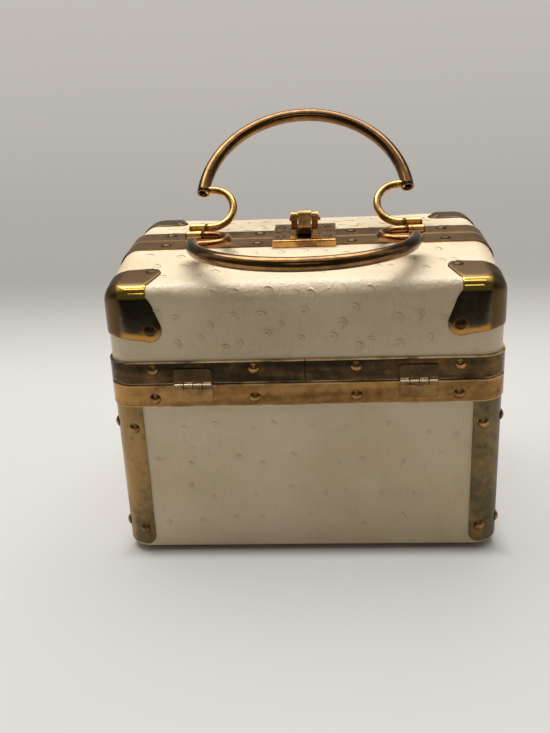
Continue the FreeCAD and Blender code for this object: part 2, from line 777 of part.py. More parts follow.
# Clasp plates: pressed trays on the edge strips. The front one has a window between two rails, and the
# back one carries the two ears of the lever.
def clasp_tray(label):
    body = new_body(label)
    wide = dim("clasp_half")
    sheet_thick = dim("clasp_sheet")
    height = dim("clasp_top") - dim("edge_thick")
    tray = new_sketch(body, "XY_Plane", ribbon_top)
    draw(tray, [
        (-wide, -dim("clasp_far")), (wide, -dim("clasp_far")), (wide, -dim("clasp_near")),
        (-wide, -dim("clasp_near")),
    ])
    pad(body, tray, height)
    skirt = new_sketch(body, "XY_Plane", top + 0.1)
    draw(skirt, [
        (-wide, -dim("clasp_far")), (wide, -dim("clasp_far")), (wide, -dim("clasp_far") + sheet_thick),
        (-wide, -dim("clasp_far") + sheet_thick),
    ])
    pad(body, skirt, dim("edge_thick"))
    soften(body, "Fillet", 1.0, lambda edge: near(edge.BoundBox.ZMin, top + dim("clasp_top")) and (
        near(edge.BoundBox.YMax, -dim("clasp_far")) or near(edge.BoundBox.XLength, 0)))
    hollow = new_sketch(body, "XY_Plane", ribbon_top)
    draw(hollow, [
        (-wide + sheet_thick, -dim("clasp_far") + sheet_thick),
        (wide - sheet_thick, -dim("clasp_far") + sheet_thick),
        (wide - sheet_thick, -dim("clasp_near") + 1), (-wide + sheet_thick, -dim("clasp_near") + 1),
    ])
    pocket(body, hollow, height - sheet_thick, reverse=True)
    return body


clasp_level = top + dim("clasp_top")
clasp_front_plate = clasp_tray("clasp_front_plate")
window = new_sketch(clasp_front_plate, "XY_Plane", clasp_level + 1)
gate = dim("clasp_window")
draw(window, [(-gate, -dim("clasp_window_end")), (gate, -dim("clasp_window_end")), (gate, 0), (-gate, 0)])
pocket(clasp_front_plate, window, dim("clasp_sheet") + 1.5)
rails = new_sketch(clasp_front_plate, "XY_Plane", clasp_level)
for sign, tag in ((-1, "a"), (1, "b")):
    first = dim("rail_near") * sign
    last = dim("rail_far") * sign
    draw(rails, [(first, -18.6), (last, -18.6), (last, -1.4), (first, -1.4)], tag)
pad(clasp_front_plate, rails, dim("rail_rise"))
rail_top = clasp_level + dim("rail_rise")
soften(clasp_front_plate, "Fillet", 0.8, lambda edge: flat_at_z(edge, rail_top) and edge.BoundBox.YLength > 5)

pivot_y = dim("pivot_back")
pivot_z = top + dim("pivot_rise")
back_tray = mirror("clasp_back_tray", clasp_tray("clasp_tray_blank"), (0, 1, 0))


def ear(label, start):
    body = new_body(label)
    side = new_sketch(body, "YZ_Plane", start)
    radius = dim("ear_radius")
    draw(side, [
        (pivot_y - 3.2, clasp_level), (pivot_y + radius, clasp_level), (pivot_y + radius, pivot_z, radius, 1),
        (pivot_y, pivot_z + radius, radius, 1), (pivot_y - radius, pivot_z),
    ])
    pad(body, side, dim("rail_far") - dim("rail_near"))
    bore = new_sketch(body, "YZ_Plane", start - 1)
    draw_circle(bore, pivot_y, pivot_z, dim("clasp_pin_radius") + 0.02, "bore")
    pocket(body, bore, 8, reverse=True)
    return body


ear_left = ear("clasp_ear_left", -dim("rail_far"))
ear_right = ear("clasp_ear_right", dim("rail_near"))
clasp_back_plate = fuse("clasp_back_plate", [back_tray, ear_left, ear_right])
pin_half = dim("rail_far") + 0.6
clasp_pin = x_cylinder("clasp_pin", dim("clasp_pin_radius"), -pin_half, pin_half * 2, pivot_y, pivot_z)

# The lever: an arm hanging in front of the pivot to a heel in the window, an eye round the pin and a
# fan-shaped thumb tab behind.
clasp_lever = new_body("clasp_lever")


def at(y, z):
    return (pivot_y + y, pivot_z + z)


arm = new_sketch(clasp_lever, "YZ_Plane")
draw(arm, [
    at(-1.6, -1.7), at(-3.9, -6.4), at(-3.9, -8.3), at(-7.0, -8.3), at(-7.0, -5.6), at(-5.4, -5.2),
    at(-3.4, 1.4) + (as_size(3.7), -1), at(0, 3.7), at(0, 0),
])
pad(clasp_lever, arm, dim("lever_half") * 2, "Symmetric")
eye = new_sketch(clasp_lever, "YZ_Plane")
draw_circle(eye, pivot_y, pivot_z, dim("lever_eye"), "c")
pad(clasp_lever, eye, dim("lever_half") * 2, "Symmetric")
tab = new_sketch(clasp_lever, "YZ_Plane")
draw(tab, [at(-0.2, 2.4), at(1.2, 1.0), at(8.2, -5.4), at(9.0, -4.5), at(2.2, 2.2), at(0, 3.7)])
pad(clasp_lever, tab, dim("tab_half") * 2, "Symmetric")
fan = new_sketch(clasp_lever, "XY_Plane", pivot_z + 6)
waist = dim("lever_half")
for sign, tag in ((-1, "a"), (1, "b")):
    draw(fan, [
        (waist * sign, pivot_y - 2), (waist * sign, pivot_y + 3.4), (dim("tab_half") * sign, pivot_y + 7.6),
        (dim("tab_half") * sign, pivot_y + 10), ((dim("tab_half") + 2) * sign, pivot_y + 10),
        ((dim("tab_half") + 2) * sign, pivot_y - 2),
    ], tag)
pocket(clasp_lever, fan, 16)
eye_bore = new_sketch(clasp_lever, "YZ_Plane")
draw_circle(eye_bore, pivot_y, pivot_z, dim("clasp_pin_radius") + dim("pin_play"), "c")
pocket(clasp_lever, eye_bore, dim("tab_half") * 2 + 2, "Symmetric")

# Spring: a bent leaf that pushes the thumb tab up.
clasp_spring = new_body("clasp_spring")
leaf_line = new_sketch(clasp_spring, "YZ_Plane")
draw(leaf_line, [
    (16.5, clasp_level), (16.5, clasp_level + 0.5), (9.6, clasp_level + 0.5, 0.7, -1),
    (9.4, clasp_level + 1.8), (12.2, clasp_level + 3.1), (12.0, clasp_level + 3.6),
    (9.0, clasp_level + 2.2, 1.2, 1), (9.6, clasp_level),
])
pad(clasp_spring, leaf_line, dim("spring_half") * 2, "Symmetric")

# Mirror images: right-hand pieces across X, back-half pieces across Y.
across_x = (1, 0, 0)
across_y = (0, 1, 0)
nodes = {
    "base_shell": base_shell,
    "base_cover": base_cover,
    "base_lining": base_lining,
    "lower_band": lower_band,
    "lower_band_rivets": lower_band_rivets,
    "corner_strip_rivets": corner_strip_rivets,
    "base_underside": base_underside,
    "corner_strip_front_left": strip_front_left,
    "hinge_lower_front_left": front_leaf_low_left,
    "front_lid_shell": front_lid_shell,
    "front_lid_cover": front_lid_cover,
    "front_lid_lining": front_lid_lining,
    "front_band_left": front_band_left,
    "front_edge_strip": front_edge_strip,
    "front_cap_left": front_cap_left,
    "front_band_rivets": front_band_rivets,
    "front_trim_rivets": front_trim_rivets,
    "front_clasp_rivets": front_clasp_rivets,
    "hinge_upper_front_left": front_leaf_high_left,
    "hinge_pin_front_left": front_pin_left,
    "front_bracket_left": bracket_left,
    "clasp_front_plate": clasp_front_plate,
    "clasp_back_plate": clasp_back_plate,
    "clasp_pin": clasp_pin,
    "clasp_spring": clasp_spring,
    "clasp_lever": clasp_lever,
    "front_handle_tube": front_handle[0],
    "front_handle_rod_left": front_handle[1],
    "front_handle_rod_right": front_handle[2],
    "back_handle_tube": back_handle[0],
    "back_handle_rod_left": back_handle[1],
    "back_handle_rod_right": back_handle[2],
}
left_nodes = (
    "corner_strip_front_left", "hinge_lower_front_left", "front_band_left", "front_cap_left",
    "hinge_upper_front_left", "hinge_pin_front_left", "front_bracket_left",
)
for left_name in left_nodes:
    right_name = left_name.replace("left", "right")
    nodes[right_name] = mirror(right_name, nodes[left_name], across_x)
front_nodes = left_nodes + tuple(name.replace("left", "right") for name in left_nodes) + (
    "front_lid_shell", "front_lid_cover", "front_lid_lining", "front_edge_strip", "front_band_rivets",
    "front_trim_rivets", "front_clasp_rivets",
)
for front_name in front_nodes:
    back_name = front_name.replace("front", "back")
    nodes[back_name] = mirror(back_name, nodes[front_name], across_y)

doc.recompute()
for feature in doc.Objects:
    if "Invalid" in feature.State or "Error" in feature.State:
        raise RuntimeError("%s did not recompute: %s" % (feature.Name, feature.State))

os.makedirs("parts", exist_ok=True)
for name, feature in nodes.items():
    feature.Label = name
    shape = feature.Shape
    if shape.isNull() or not shape.isValid() or not shape.Solids:
        raise RuntimeError("%s has no valid solid" % name)
    shape.exportStep("parts/%s.step" % name)
    print("%-26s solids %2d faces %3d volume %10.2f" % (name, len(shape.Solids), len(shape.Faces), shape.Volume))
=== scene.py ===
import bmesh
import bpy
import json
import math
import random
from mathutils import Matrix, Vector

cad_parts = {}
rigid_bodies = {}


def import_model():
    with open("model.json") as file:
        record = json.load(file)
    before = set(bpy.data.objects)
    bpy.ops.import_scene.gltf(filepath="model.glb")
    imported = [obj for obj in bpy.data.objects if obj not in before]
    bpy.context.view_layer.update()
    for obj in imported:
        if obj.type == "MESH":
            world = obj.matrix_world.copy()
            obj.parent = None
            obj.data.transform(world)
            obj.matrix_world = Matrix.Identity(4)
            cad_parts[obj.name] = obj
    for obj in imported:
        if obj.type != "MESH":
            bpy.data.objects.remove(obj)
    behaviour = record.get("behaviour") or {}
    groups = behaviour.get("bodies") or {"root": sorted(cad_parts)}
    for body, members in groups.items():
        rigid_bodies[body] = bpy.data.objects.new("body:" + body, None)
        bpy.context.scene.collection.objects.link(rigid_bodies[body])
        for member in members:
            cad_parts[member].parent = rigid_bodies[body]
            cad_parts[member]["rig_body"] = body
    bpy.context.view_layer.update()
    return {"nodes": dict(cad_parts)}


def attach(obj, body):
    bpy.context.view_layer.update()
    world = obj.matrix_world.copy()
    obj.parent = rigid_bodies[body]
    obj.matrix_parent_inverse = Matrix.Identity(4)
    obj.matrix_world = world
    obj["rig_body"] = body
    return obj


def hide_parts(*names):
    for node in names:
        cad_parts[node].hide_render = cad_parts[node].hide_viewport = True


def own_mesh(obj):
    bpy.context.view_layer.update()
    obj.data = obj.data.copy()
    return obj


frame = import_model()
nodes = frame["nodes"]
scene = bpy.context.scene
scene.view_settings.view_transform = "Standard"
mm = 0.001
halves = {"front": -1, "back": 1}  # the two halves of the lid, by their side of the split
hands = {"left": -1, "right": 1}
print("frame loaded:", len(nodes), "nodes")


class Socket:  # a shader value that takes part in Python arithmetic
    def __init__(self, tree, socket):
        self.tree = tree
        self.socket = socket

    def join(self, operation, first, second):
        node = self.tree.nodes.new("ShaderNodeMath")
        node.operation = operation
        plug(self.tree, node.inputs[0], first)
        plug(self.tree, node.inputs[1], second)
        return Socket(self.tree, node.outputs[0])

    def __add__(self, other):
        return self.join("ADD", self, other)

    def __radd__(self, other):
        return self.join("ADD", other, self)

    def __sub__(self, other):
        return self.join("SUBTRACT", self, other)

    def __rsub__(self, other):
        return self.join("SUBTRACT", other, self)

    def __mul__(self, other):
        return self.join("MULTIPLY", self, other)


def plug(tree, target, value):
    if isinstance(value, Socket):
        tree.links.new(value.socket, target)
    else:
        target.default_value = value


class Finish:  # one material and the nodes that colour it
    def __init__(self, name):
        self.material = bpy.data.materials.new(name)
        self.material.use_nodes = True
        self.tree = self.material.node_tree
        self.shader = self.tree.nodes["Principled BSDF"]
        self.place = self.make("ShaderNodeTexCoord", out="Object")

    def make(self, kind, settings=None, sockets=None, out=0):
        node = self.tree.nodes.new(kind)
        for name, value in (settings or {}).items():
            setattr(node, name, value)
        for name, value in (sockets or {}).items():
            plug(self.tree, node.inputs[name], value)
        return Socket(self.tree, node.outputs[out])

    def work(self, operation, first, second=0.0):  # a step of arithmetic that has no sign in Python
        return self.make("ShaderNodeMath", {"operation": operation}, {0: first, 1: second})

    def noise(self, scale, detail=4.0, rough=0.55, stretch=(1, 1, 1), warp=0.0):
        spread = self.make("ShaderNodeMapping", sockets={"Vector": self.place, "Scale": stretch})
        return self.make("ShaderNodeTexNoise", sockets={
            "Vector": spread, "Scale": scale, "Detail": detail, "Roughness": rough, "Distortion": warp})

    def band(self, value, low, high, first=0.0, last=1.0):  # a soft step of value between low and high
        return self.make("ShaderNodeMapRange", {"interpolation_type": "SMOOTHSTEP"}, {
            "Value": value, "From Min": low, "From Max": high, "To Min": first, "To Max": last})

    def mix(self, share, first, second):
        return self.make("ShaderNodeMix", {"data_type": "RGBA"}, {0: share, 6: first, 7: second}, out=2)

    def axis(self, name):
        return self.make("ShaderNodeSeparateXYZ", sockets={0: self.place}, out=name)

    def away(self, name):  # distance from the middle of the case along one axis
        return self.work("ABSOLUTE", self.axis(name))

    def bump(self, height, strength, distance):
        return self.make("ShaderNodeBump", sockets={
            "Height": height, "Strength": strength, "Distance": distance})

    def surface(self, **sockets):
        for name, value in sockets.items():
            plug(self.tree, self.shader.inputs[name.replace("_", " ")], value)
        return self.material

    def metal(self, colour, rough, relief):
        return self.surface(Base_Color=colour, Roughness=rough, Normal=relief, Metallic=1.0)


def tone(screen):  # a colour written as on a screen, made linear, with full alpha
    parts = [part / 255 for part in screen]
    linear = [part / 12.92 if part <= 0.04045 else ((part + 0.055) / 1.055) ** 2.4 for part in parts]
    return (*linear, 1.0)


# Brass finishes: clear metal, old lacquer turned brown and darker spots
brassLooks = {
    "stripBrass": {"clear": (158, 126, 80), "stain": (94, 86, 64), "cover": 0.55, "spot": 0.35,
                   "grain": 24, "streak": (1, 1, 0.45), "gloss": (0.28, 0.46)},
    "rivetBrass": {"clear": (182, 140, 84), "stain": (112, 82, 49), "cover": 0.5, "spot": 0.3,
                   "grain": 160, "streak": (1, 1, 1), "gloss": (0.22, 0.36),
                   "halo": 0.85, "haloTo": 0.28},
    "trimRivetBrass": {"clear": (88, 68, 44), "stain": (58, 44, 29), "cover": 0.5, "spot": 0.3,
                       "grain": 160, "streak": (1, 1, 1), "gloss": (0.36, 0.48),
                       "halo": 1.0, "haloTo": 0.55},
    # Handles: one brass in two copies, the front darker and browner, the back lighter; partly tarnish and
    # partly painted light and shade
    "frontTubeBrass": {"clear": (166, 124, 76), "stain": (98, 72, 46), "cover": 0.6, "spot": 0.05,
                       "grain": 20, "streak": (0.5, 1, 1), "gloss": (0.12, 0.22), "relief": 0.03},
    "backTubeBrass": {"clear": (176, 136, 82), "stain": (108, 80, 52), "cover": 0.6, "spot": 0.05,
                      "grain": 20, "streak": (0.5, 1, 1), "gloss": (0.12, 0.22), "relief": 0.03},
    "frontRodBrass": {"clear": (184, 130, 80), "stain": (112, 72, 42), "cover": 0.5, "spot": 0.15,
                      "grain": 60, "streak": (1, 1, 1), "gloss": (0.16, 0.26)},
    "rodBrass": {"clear": (214, 170, 102), "stain": (128, 86, 44), "cover": 0.4, "spot": 0.15,
                 "grain": 60, "streak": (1, 1, 1), "gloss": (0.16, 0.26)},
    "claspBrass": {"clear": (208, 160, 98), "stain": (128, 90, 52), "cover": 0.45, "spot": 0.25,
                   "grain": 70, "streak": (1, 1, 1), "gloss": (0.18, 0.34)},
}
lacquer = {"edge": 0.78, "reach": 0.55, "soft": 0.14, "fineTimes": 9, "scratches": 420,
           "scratchStretch": (1, 1, 0.12), "spotFrom": 0.62, "spotTo": 0.76, "spotTone": (52, 36, 20),
           "relief": 0.12, "reliefDeep": 0.4}
rivetHalo = {"tone": (34, 26, 18), "from": 0.02}  # darker round the foot of a head


def brassNodes(finish, look):
    broad = finish.noise(look["grain"], detail=5.0, rough=0.6, stretch=look["streak"], warp=0.4)
    fine = finish.noise(look["grain"] * lacquer["fineTimes"], detail=3.0)
    scratch = finish.noise(lacquer["scratches"], detail=2.0, stretch=lacquer["scratchStretch"])
    edge = lacquer["edge"] - lacquer["reach"] * look["cover"]
    stained = finish.band(broad * 0.75 + fine * 0.25, edge - lacquer["soft"], edge + lacquer["soft"])
    colour = finish.mix(stained, tone(look["clear"]), tone(look["stain"]))
    spots = finish.band(fine, lacquer["spotFrom"], lacquer["spotTo"])
    colour = finish.mix(spots * look["spot"], colour, tone(lacquer["spotTone"]))
    rough = finish.band(broad * 0.6 + scratch * 0.4, 0.3, 0.7, *look["gloss"])
    strength = look.get("relief", lacquer["relief"])
    relief = finish.bump(fine * 0.6 + scratch * 0.4, strength, lacquer["reliefDeep"] * mm)
    return colour, rough, relief


def brassFinish(name):
    finish = Finish(name)
    look = brassLooks[name]
    colour, rough, relief = brassNodes(finish, look)
    if "halo" in look:
        rise = finish.make("ShaderNodeAttribute", {"attribute_name": "rise"}, out="Fac")
        # darker towards the foot of each head
        footDark = finish.band(rise, rivetHalo["from"], look["haloTo"], look["halo"], 0.0)
        colour = finish.mix(footDark, colour, tone(rivetHalo["tone"]))
    return finish.metal(colour, rough, relief)


# Bands: brown lacquer, worn to bright metal along both edges and painted there with a highlight, with a
# dark butt joint on the lid's
bandLooks = {
    "bandBrass": {"clear": (130, 100, 62), "stain": (52, 42, 32), "cover": 0.66, "spot": 0.3,
                  "grain": 16, "streak": (0.25, 0.25, 2.2), "gloss": (0.2, 0.36),
                  "low": 116.4, "high": 130.4, "joint": 0.4, "gap": (24, 19, 14)},
    "baseBandBrass": {"clear": (184, 140, 84), "stain": (114, 82, 48), "cover": 0.46, "spot": 0.3,
                      "grain": 18, "streak": (0.3, 0.3, 1.8), "gloss": (0.24, 0.4),
                      "low": 101.8, "high": 115.6},
}
edgeWearAndHighlight = {"tone": (246, 214, 156), "wide": 0.9, "soft": 0.4, "share": 0.85, "dull": 0.3,
            "rub": 120, "rubStretch": (0.3, 0.3, 1), "rubFrom": 0.35, "rubTo": 0.6}


def bandFinish(name):
    look = bandLooks[name]
    finish = Finish(name)
    colour, rough, relief = brassNodes(finish, look)
    height = finish.axis("Z")
    wide = edgeWearAndHighlight["wide"] * mm
    soft = edgeWearAndHighlight["soft"] * mm
    low = finish.band(height, look["low"] * mm + wide - soft, look["low"] * mm + wide, 1.0, 0.0)
    high = finish.band(height, look["high"] * mm - wide, look["high"] * mm - wide + soft)
    rub = finish.noise(edgeWearAndHighlight["rub"], detail=3.0, stretch=edgeWearAndHighlight["rubStretch"])
    rubbed = finish.band(rub, edgeWearAndHighlight["rubFrom"], edgeWearAndHighlight["rubTo"])
    # edges worn to bright brass, with the same bright colour also standing as a painted highlight along
    # them
    worn = (low + high) * rubbed * edgeWearAndHighlight["share"]
    colour = finish.mix(worn, colour, tone(edgeWearAndHighlight["tone"]))
    if "joint" in look:
        joint = finish.band(finish.away("X"), look["joint"] * 0.5 * mm, look["joint"] * mm, 1.0, 0.0)
        colour = finish.mix(joint, colour, tone(look["gap"]))
    return finish.metal(colour, rough + worn * edgeWearAndHighlight["dull"], relief)


# Edge strips: brown, with a painted highlight as a bright line where the halves meet
edgeLook = {"clear": (170, 132, 84), "stain": (106, 78, 48), "cover": 0.55, "spot": 0.3,
            "grain": 22, "streak": (0.3, 1, 1), "gloss": (0.26, 0.42),
            "line": (238, 198, 126), "lineTo": 1.7, "soft": 0.5}


def edgeFinish():
    finish = Finish("edgeBrass")
    colour, rough, relief = brassNodes(finish, edgeLook)
    lineFrom = edgeLook["lineTo"] - edgeLook["soft"]
    # painted highlight: a bright line along each strip's edge at the split
    line = finish.band(finish.away("Y"), lineFrom * mm, edgeLook["lineTo"] * mm, 1.0, 0.0)
    return finish.metal(finish.mix(line, colour, tone(edgeLook["line"])), rough, relief)


# Corner caps: dark polished lobes with gold rims and a gold ring round the rivet painted as reflections, a
# gold fold painted as a highlight, dull tops and dull ends
capLook = {"clear": (118, 106, 84), "stain": (80, 72, 58), "cover": 0.5, "spot": 0.2,
           "grain": 30, "streak": (1, 1, 1), "gloss": (0.05, 0.12),
           "shift": 35.5, "wobble": 3.0, "wobbleGrain": 90,
           "rim": (176, 128, 62), "rimTip": 90.0, "rimLow": 142.6, "rimRise": 0.176,
           "rimWide": 4.4, "rimSoft": 2.2,
           "rivetX": 88.5, "rivetZ": 148.2, "ringFrom": 3.9, "ringTo": 5.98, "ringShare": 0.8,
           "fold": (246, 204, 100), "foldFrom": 168.6, "foldTo": 170.2,
           "top": (106, 82, 52), "topFrom": 175.4, "topTo": 176.2,
           "endFrom": 104.5, "endTo": 107.5, "dull": 0.3}


def capFinish():
    finish = Finish("capBrass")
    colour, rough, relief = brassNodes(finish, capLook)
    height = finish.axis("Z")
    alongX = finish.away("X")
    alongY = finish.away("Y") + capLook["shift"] * mm
    reach = finish.work("MINIMUM", alongX, alongY)  # the same on the front and on the end
    wobble = finish.noise(capLook["wobbleGrain"], detail=2.0) * (capLook["wobble"] * mm)
    past = finish.work("MAXIMUM", reach - capLook["rimTip"] * mm, 0.0)
    edge = capLook["rimLow"] * mm + past * capLook["rimRise"]
    rimTo = capLook["rimWide"] + capLook["rimSoft"]
    # painted reflection: a gold band along each lobe's lower rim, where a rolled edge would mirror the
    # bright floor
    rim = finish.band(height - edge + wobble, capLook["rimWide"] * mm, rimTo * mm, 1.0, 0.0)
    besideX = reach - capLook["rivetX"] * mm
    besideZ = height - capLook["rivetZ"] * mm
    # painted reflection: a gold ring round the lobe's rivet
    ring = finish.band(besideX * besideX + besideZ * besideZ, (capLook["ringFrom"] * mm) ** 2,
                       (capLook["ringTo"] * mm) ** 2, capLook["ringShare"], 0.0)
    colour = finish.mix(finish.work("MAXIMUM", rim, ring), colour, tone(capLook["rim"]))
    # painted highlight: a bright gold band low on the fold
    fold = finish.band(height, capLook["foldFrom"] * mm, capLook["foldTo"] * mm)
    colour = finish.mix(fold, colour, tone(capLook["fold"]))
    top = finish.band(height, capLook["topFrom"] * mm, capLook["topTo"] * mm)
    end = finish.band(alongX + wobble * 0.5, capLook["endFrom"] * mm, capLook["endTo"] * mm)
    dull = finish.work("MAXIMUM", top, end)
    colour = finish.mix(dull, colour, tone(capLook["top"]))
    return finish.metal(colour, rough + dull * capLook["dull"], relief)


# Hinges: dark upper leaves, clearer lower ones, a painted highlight along the top of the knuckles, with
# dark joints between them
hingeLook = {"clear": (160, 124, 78), "stain": (102, 76, 47), "cover": 0.5, "spot": 0.2,
             "grain": 60, "streak": (1, 1, 1), "gloss": (0.2, 0.34),
             "pinLevel": 116.0, "half": 2.4, "soft": 0.5,
             "upper": (62, 50, 35), "upperFrom": 118.4, "upperTo": 118.8, "upperShare": 0.8,
             "worn": (244, 222, 184), "wornRise": 0.7, "wornShare": 0.9,
             "centre": 65.5, "knuckle": 5.5, "joint": 0.35, "gap": (46, 34, 22)}


def hingeFinish():
    finish = Finish("hingeBrass")
    colour, rough, relief = brassNodes(finish, hingeLook)
    height = finish.axis("Z")
    pinLevel = hingeLook["pinLevel"] * mm
    away = finish.work("ABSOLUTE", height - pinLevel)
    halfFrom = hingeLook["half"] - hingeLook["soft"]
    knuckle = finish.band(away, halfFrom * mm, hingeLook["half"] * mm, 1.0, 0.0)
    upper = finish.band(height, hingeLook["upperFrom"] * mm, hingeLook["upperTo"] * mm)
    colour = finish.mix(upper * hingeLook["upperShare"], colour, tone(hingeLook["upper"]))
    # painted highlight: the upper half of each knuckle is coloured near white
    bright = knuckle * finish.band(height, pinLevel, pinLevel + hingeLook["wornRise"] * mm)
    colour = finish.mix(bright * hingeLook["wornShare"], colour, tone(hingeLook["worn"]))
    along = finish.away("X") - hingeLook["centre"] * mm
    step = finish.work("PINGPONG", along, hingeLook["knuckle"] * 0.5 * mm)
    joint = finish.band(step, hingeLook["joint"] * 0.5 * mm, hingeLook["joint"] * mm, 1.0, 0.0)
    colour = finish.mix(joint * knuckle, colour, tone(hingeLook["gap"]))
    return finish.metal(colour, rough, relief)


# Ivory covering with a pearly top coat over fine pores and creases
coverLook = {"ivory": (245, 224, 187), "shade": (232, 208, 168), "soil": (182, 152, 110), "soilShare": 0.3,
             "clouds": 14, "creases": 70, "wrinkles": 210, "pores": 900, "gloss": (0.34, 0.52),
             "relief": 0.9, "reliefDeep": 1.6, "coat": 0.25, "coatRough": 0.3, "sheen": 0.1}


def coverFinish():
    finish = Finish("ivoryCover")
    clouds = finish.noise(coverLook["clouds"], detail=3.0)
    creases = finish.noise(coverLook["creases"], detail=6.0, rough=0.62, warp=1.6)
    pores = finish.noise(coverLook["pores"], detail=2.0)
    wrinkles = finish.noise(coverLook["wrinkles"], detail=4.0, rough=0.5, stretch=(1, 1, 0.3), warp=2.5)
    shaded = finish.band(clouds, 0.35, 0.7)
    colour = finish.mix(shaded, tone(coverLook["ivory"]), tone(coverLook["shade"]))
    soil = finish.band(creases * 0.7 + clouds * 0.3, 0.58, 0.74)
    colour = finish.mix(soil * coverLook["soilShare"], colour, tone(coverLook["soil"]))
    rough = finish.band(creases, 0.3, 0.7, *coverLook["gloss"])
    height = creases * 0.5 + wrinkles * 0.4 + pores * 0.1
    relief = finish.bump(height, coverLook["relief"], coverLook["reliefDeep"] * mm)
    return finish.surface(
        Base_Color=colour, Roughness=rough, Normal=relief, Coat_Weight=coverLook["coat"],
        Coat_Roughness=coverLook["coatRough"], Sheen_Weight=coverLook["sheen"])


# Lining cloth: a plain weave, faintly yellowed
liningLook = {"thread": (196, 172, 132), "gap": (150, 124, 88), "weave": 1500, "clouds": 20,
              "relief": 0.4, "reliefDeep": 0.2, "rough": 0.85, "sheen": 0.2}


def liningFinish():
    finish = Finish("liningCloth")
    place = {"Vector": finish.place, "Scale": liningLook["weave"]}
    weave = finish.make("ShaderNodeTexVoronoi", sockets=place)
    clouds = finish.noise(liningLook["clouds"], detail=4.0)
    raised = finish.band(clouds * 0.7 + weave * 0.3, 0.3, 0.65)
    colour = finish.mix(raised, tone(liningLook["gap"]), tone(liningLook["thread"]))
    relief = finish.bump(weave, liningLook["relief"], liningLook["reliefDeep"] * mm)
    return finish.surface(
        Base_Color=colour, Roughness=liningLook["rough"], Normal=relief, Sheen_Weight=liningLook["sheen"])


# Boards: pressed fibre, bare at the lid's rim and dark under the base
boardLooks = {
    "greyBoard": {"pale": (176, 158, 128), "dark": (128, 110, 84), "fibre": 260},
    "undersideBoard": {"pale": (74, 66, 58), "dark": (44, 38, 34), "fibre": 320},
}
boardGrain = {"stretch": (0.3, 1, 1), "relief": 0.2, "reliefDeep": 0.3, "rough": 0.8}


def boardFinish(name):
    look = boardLooks[name]
    finish = Finish(name)
    fibre = finish.noise(look["fibre"], detail=5.0, stretch=boardGrain["stretch"])
    colour = finish.mix(finish.band(fibre, 0.35, 0.65), tone(look["dark"]), tone(look["pale"]))
    relief = finish.bump(fibre, boardGrain["relief"], boardGrain["reliefDeep"] * mm)
    return finish.surface(Base_Color=colour, Roughness=boardGrain["rough"], Normal=relief)


# Steel of the pins and the spring, drawn lengthways
steelLook = {"dark": (150, 146, 140), "pale": (196, 190, 180), "grain": 500, "stretch": (0.1, 1, 1),
             "gloss": (0.25, 0.4)}


def steelFinish():
    finish = Finish("pinSteel")
    grain = finish.noise(steelLook["grain"], detail=3.0, stretch=steelLook["stretch"])
    colour = finish.mix(grain, tone(steelLook["dark"]), tone(steelLook["pale"]))
    rough = finish.band(grain, 0.3, 0.7, *steelLook["gloss"])
    return finish.surface(Base_Color=colour, Roughness=rough, Metallic=1.0)


finishes = {name: brassFinish(name) for name in brassLooks}
finishes.update({name: bandFinish(name) for name in bandLooks})
finishes["edgeBrass"] = edgeFinish()
finishes["capBrass"] = capFinish()
finishes["hingeBrass"] = hingeFinish()
finishes["ivoryCover"] = coverFinish()
finishes["liningCloth"] = liningFinish()
finishes.update({name: boardFinish(name) for name in boardLooks})
finishes["pinSteel"] = steelFinish()
print("finishes made:", len(finishes))

# Which finish dresses which solid, by the start of the node's name
dressing = [
    ("lower_band", "baseBandBrass"), ("front_band", "bandBrass"), ("back_band", "bandBrass"),
    ("corner_strip", "stripBrass"), ("front_edge", "edgeBrass"), ("back_edge", "edgeBrass"),
    ("front_cap", "capBrass"), ("back_cap", "capBrass"),
    ("hinge_pin", "pinSteel"), ("hinge_", "hingeBrass"),
    ("front_bracket", "rodBrass"), ("back_bracket", "rodBrass"),
    ("front_handle_rod", "frontRodBrass"), ("back_handle_rod", "rodBrass"),
    ("front_handle", "frontTubeBrass"), ("back_handle", "backTubeBrass"),
    ("clasp_spring", "pinSteel"), ("clasp", "claspBrass"), ("base_underside", "undersideBoard"),
    ("base_shell", "greyBoard"), ("front_lid_shell", "greyBoard"), ("back_lid_shell", "greyBoard"),
    ("base_lining", "liningCloth"), ("front_lid_lining", "liningCloth"), ("back_lid_lining", "liningCloth"),
    ("base_cover", "ivoryCover"), ("front_lid_cover", "ivoryCover"), ("back_lid_cover", "ivoryCover"),
]


def finishFor(name):
    if name.endswith("_rivets"):
        return finishes["rivetBrass"]
    return next(finishes[finish] for start, finish in dressing if name.startswith(start))


for name, node in nodes.items():
    node.data.materials.clear()
    node.data.materials.append(finishFor(name))
print("solids dressed")

# Stage: pale floor that sweeps up into a grey wall, with a dim room before it
stageLook = {"half": 3.2, "front": -2.6, "bend": 1.1, "radius": 0.6, "height": 3.0, "steps": 24,
             "pale": (222, 219, 214), "dim": (70, 68, 64), "dimFrom": -0.36, "dimTo": -0.52, "rough": 0.9,
             "footX": 0.113, "footY": 0.0775, "clear": 0.014, "close": 0.0, "flat": 0.6,
             "farFrom": 0.14, "farTo": 0.52, "horizon": (174, 170, 164), "upper": (196, 192, 185),
             "upperTo": 2.4}


def sweepMesh():
    profile = [(stageLook["front"], 0.0), (stageLook["bend"], 0.0)]
    for step in range(1, stageLook["steps"] + 1):
        turn = math.pi / 2 * step / stageLook["steps"]
        profile.append((stageLook["bend"] + stageLook["radius"] * math.sin(turn),
                        stageLook["radius"] * (1 - math.cos(turn))))
    profile.append((profile[-1][0], stageLook["height"]))
    half = stageLook["half"]
    points = [(side * half, y, z) for y, z in profile for side in (-1, 1)]
    faces = [(2 * i, 2 * i + 1, 2 * i + 3, 2 * i + 2) for i in range(len(profile) - 1)]
    mesh = bpy.data.meshes.new("sweep")
    mesh.from_pydata(points, [], faces)
    mesh.shade_smooth()
    return mesh


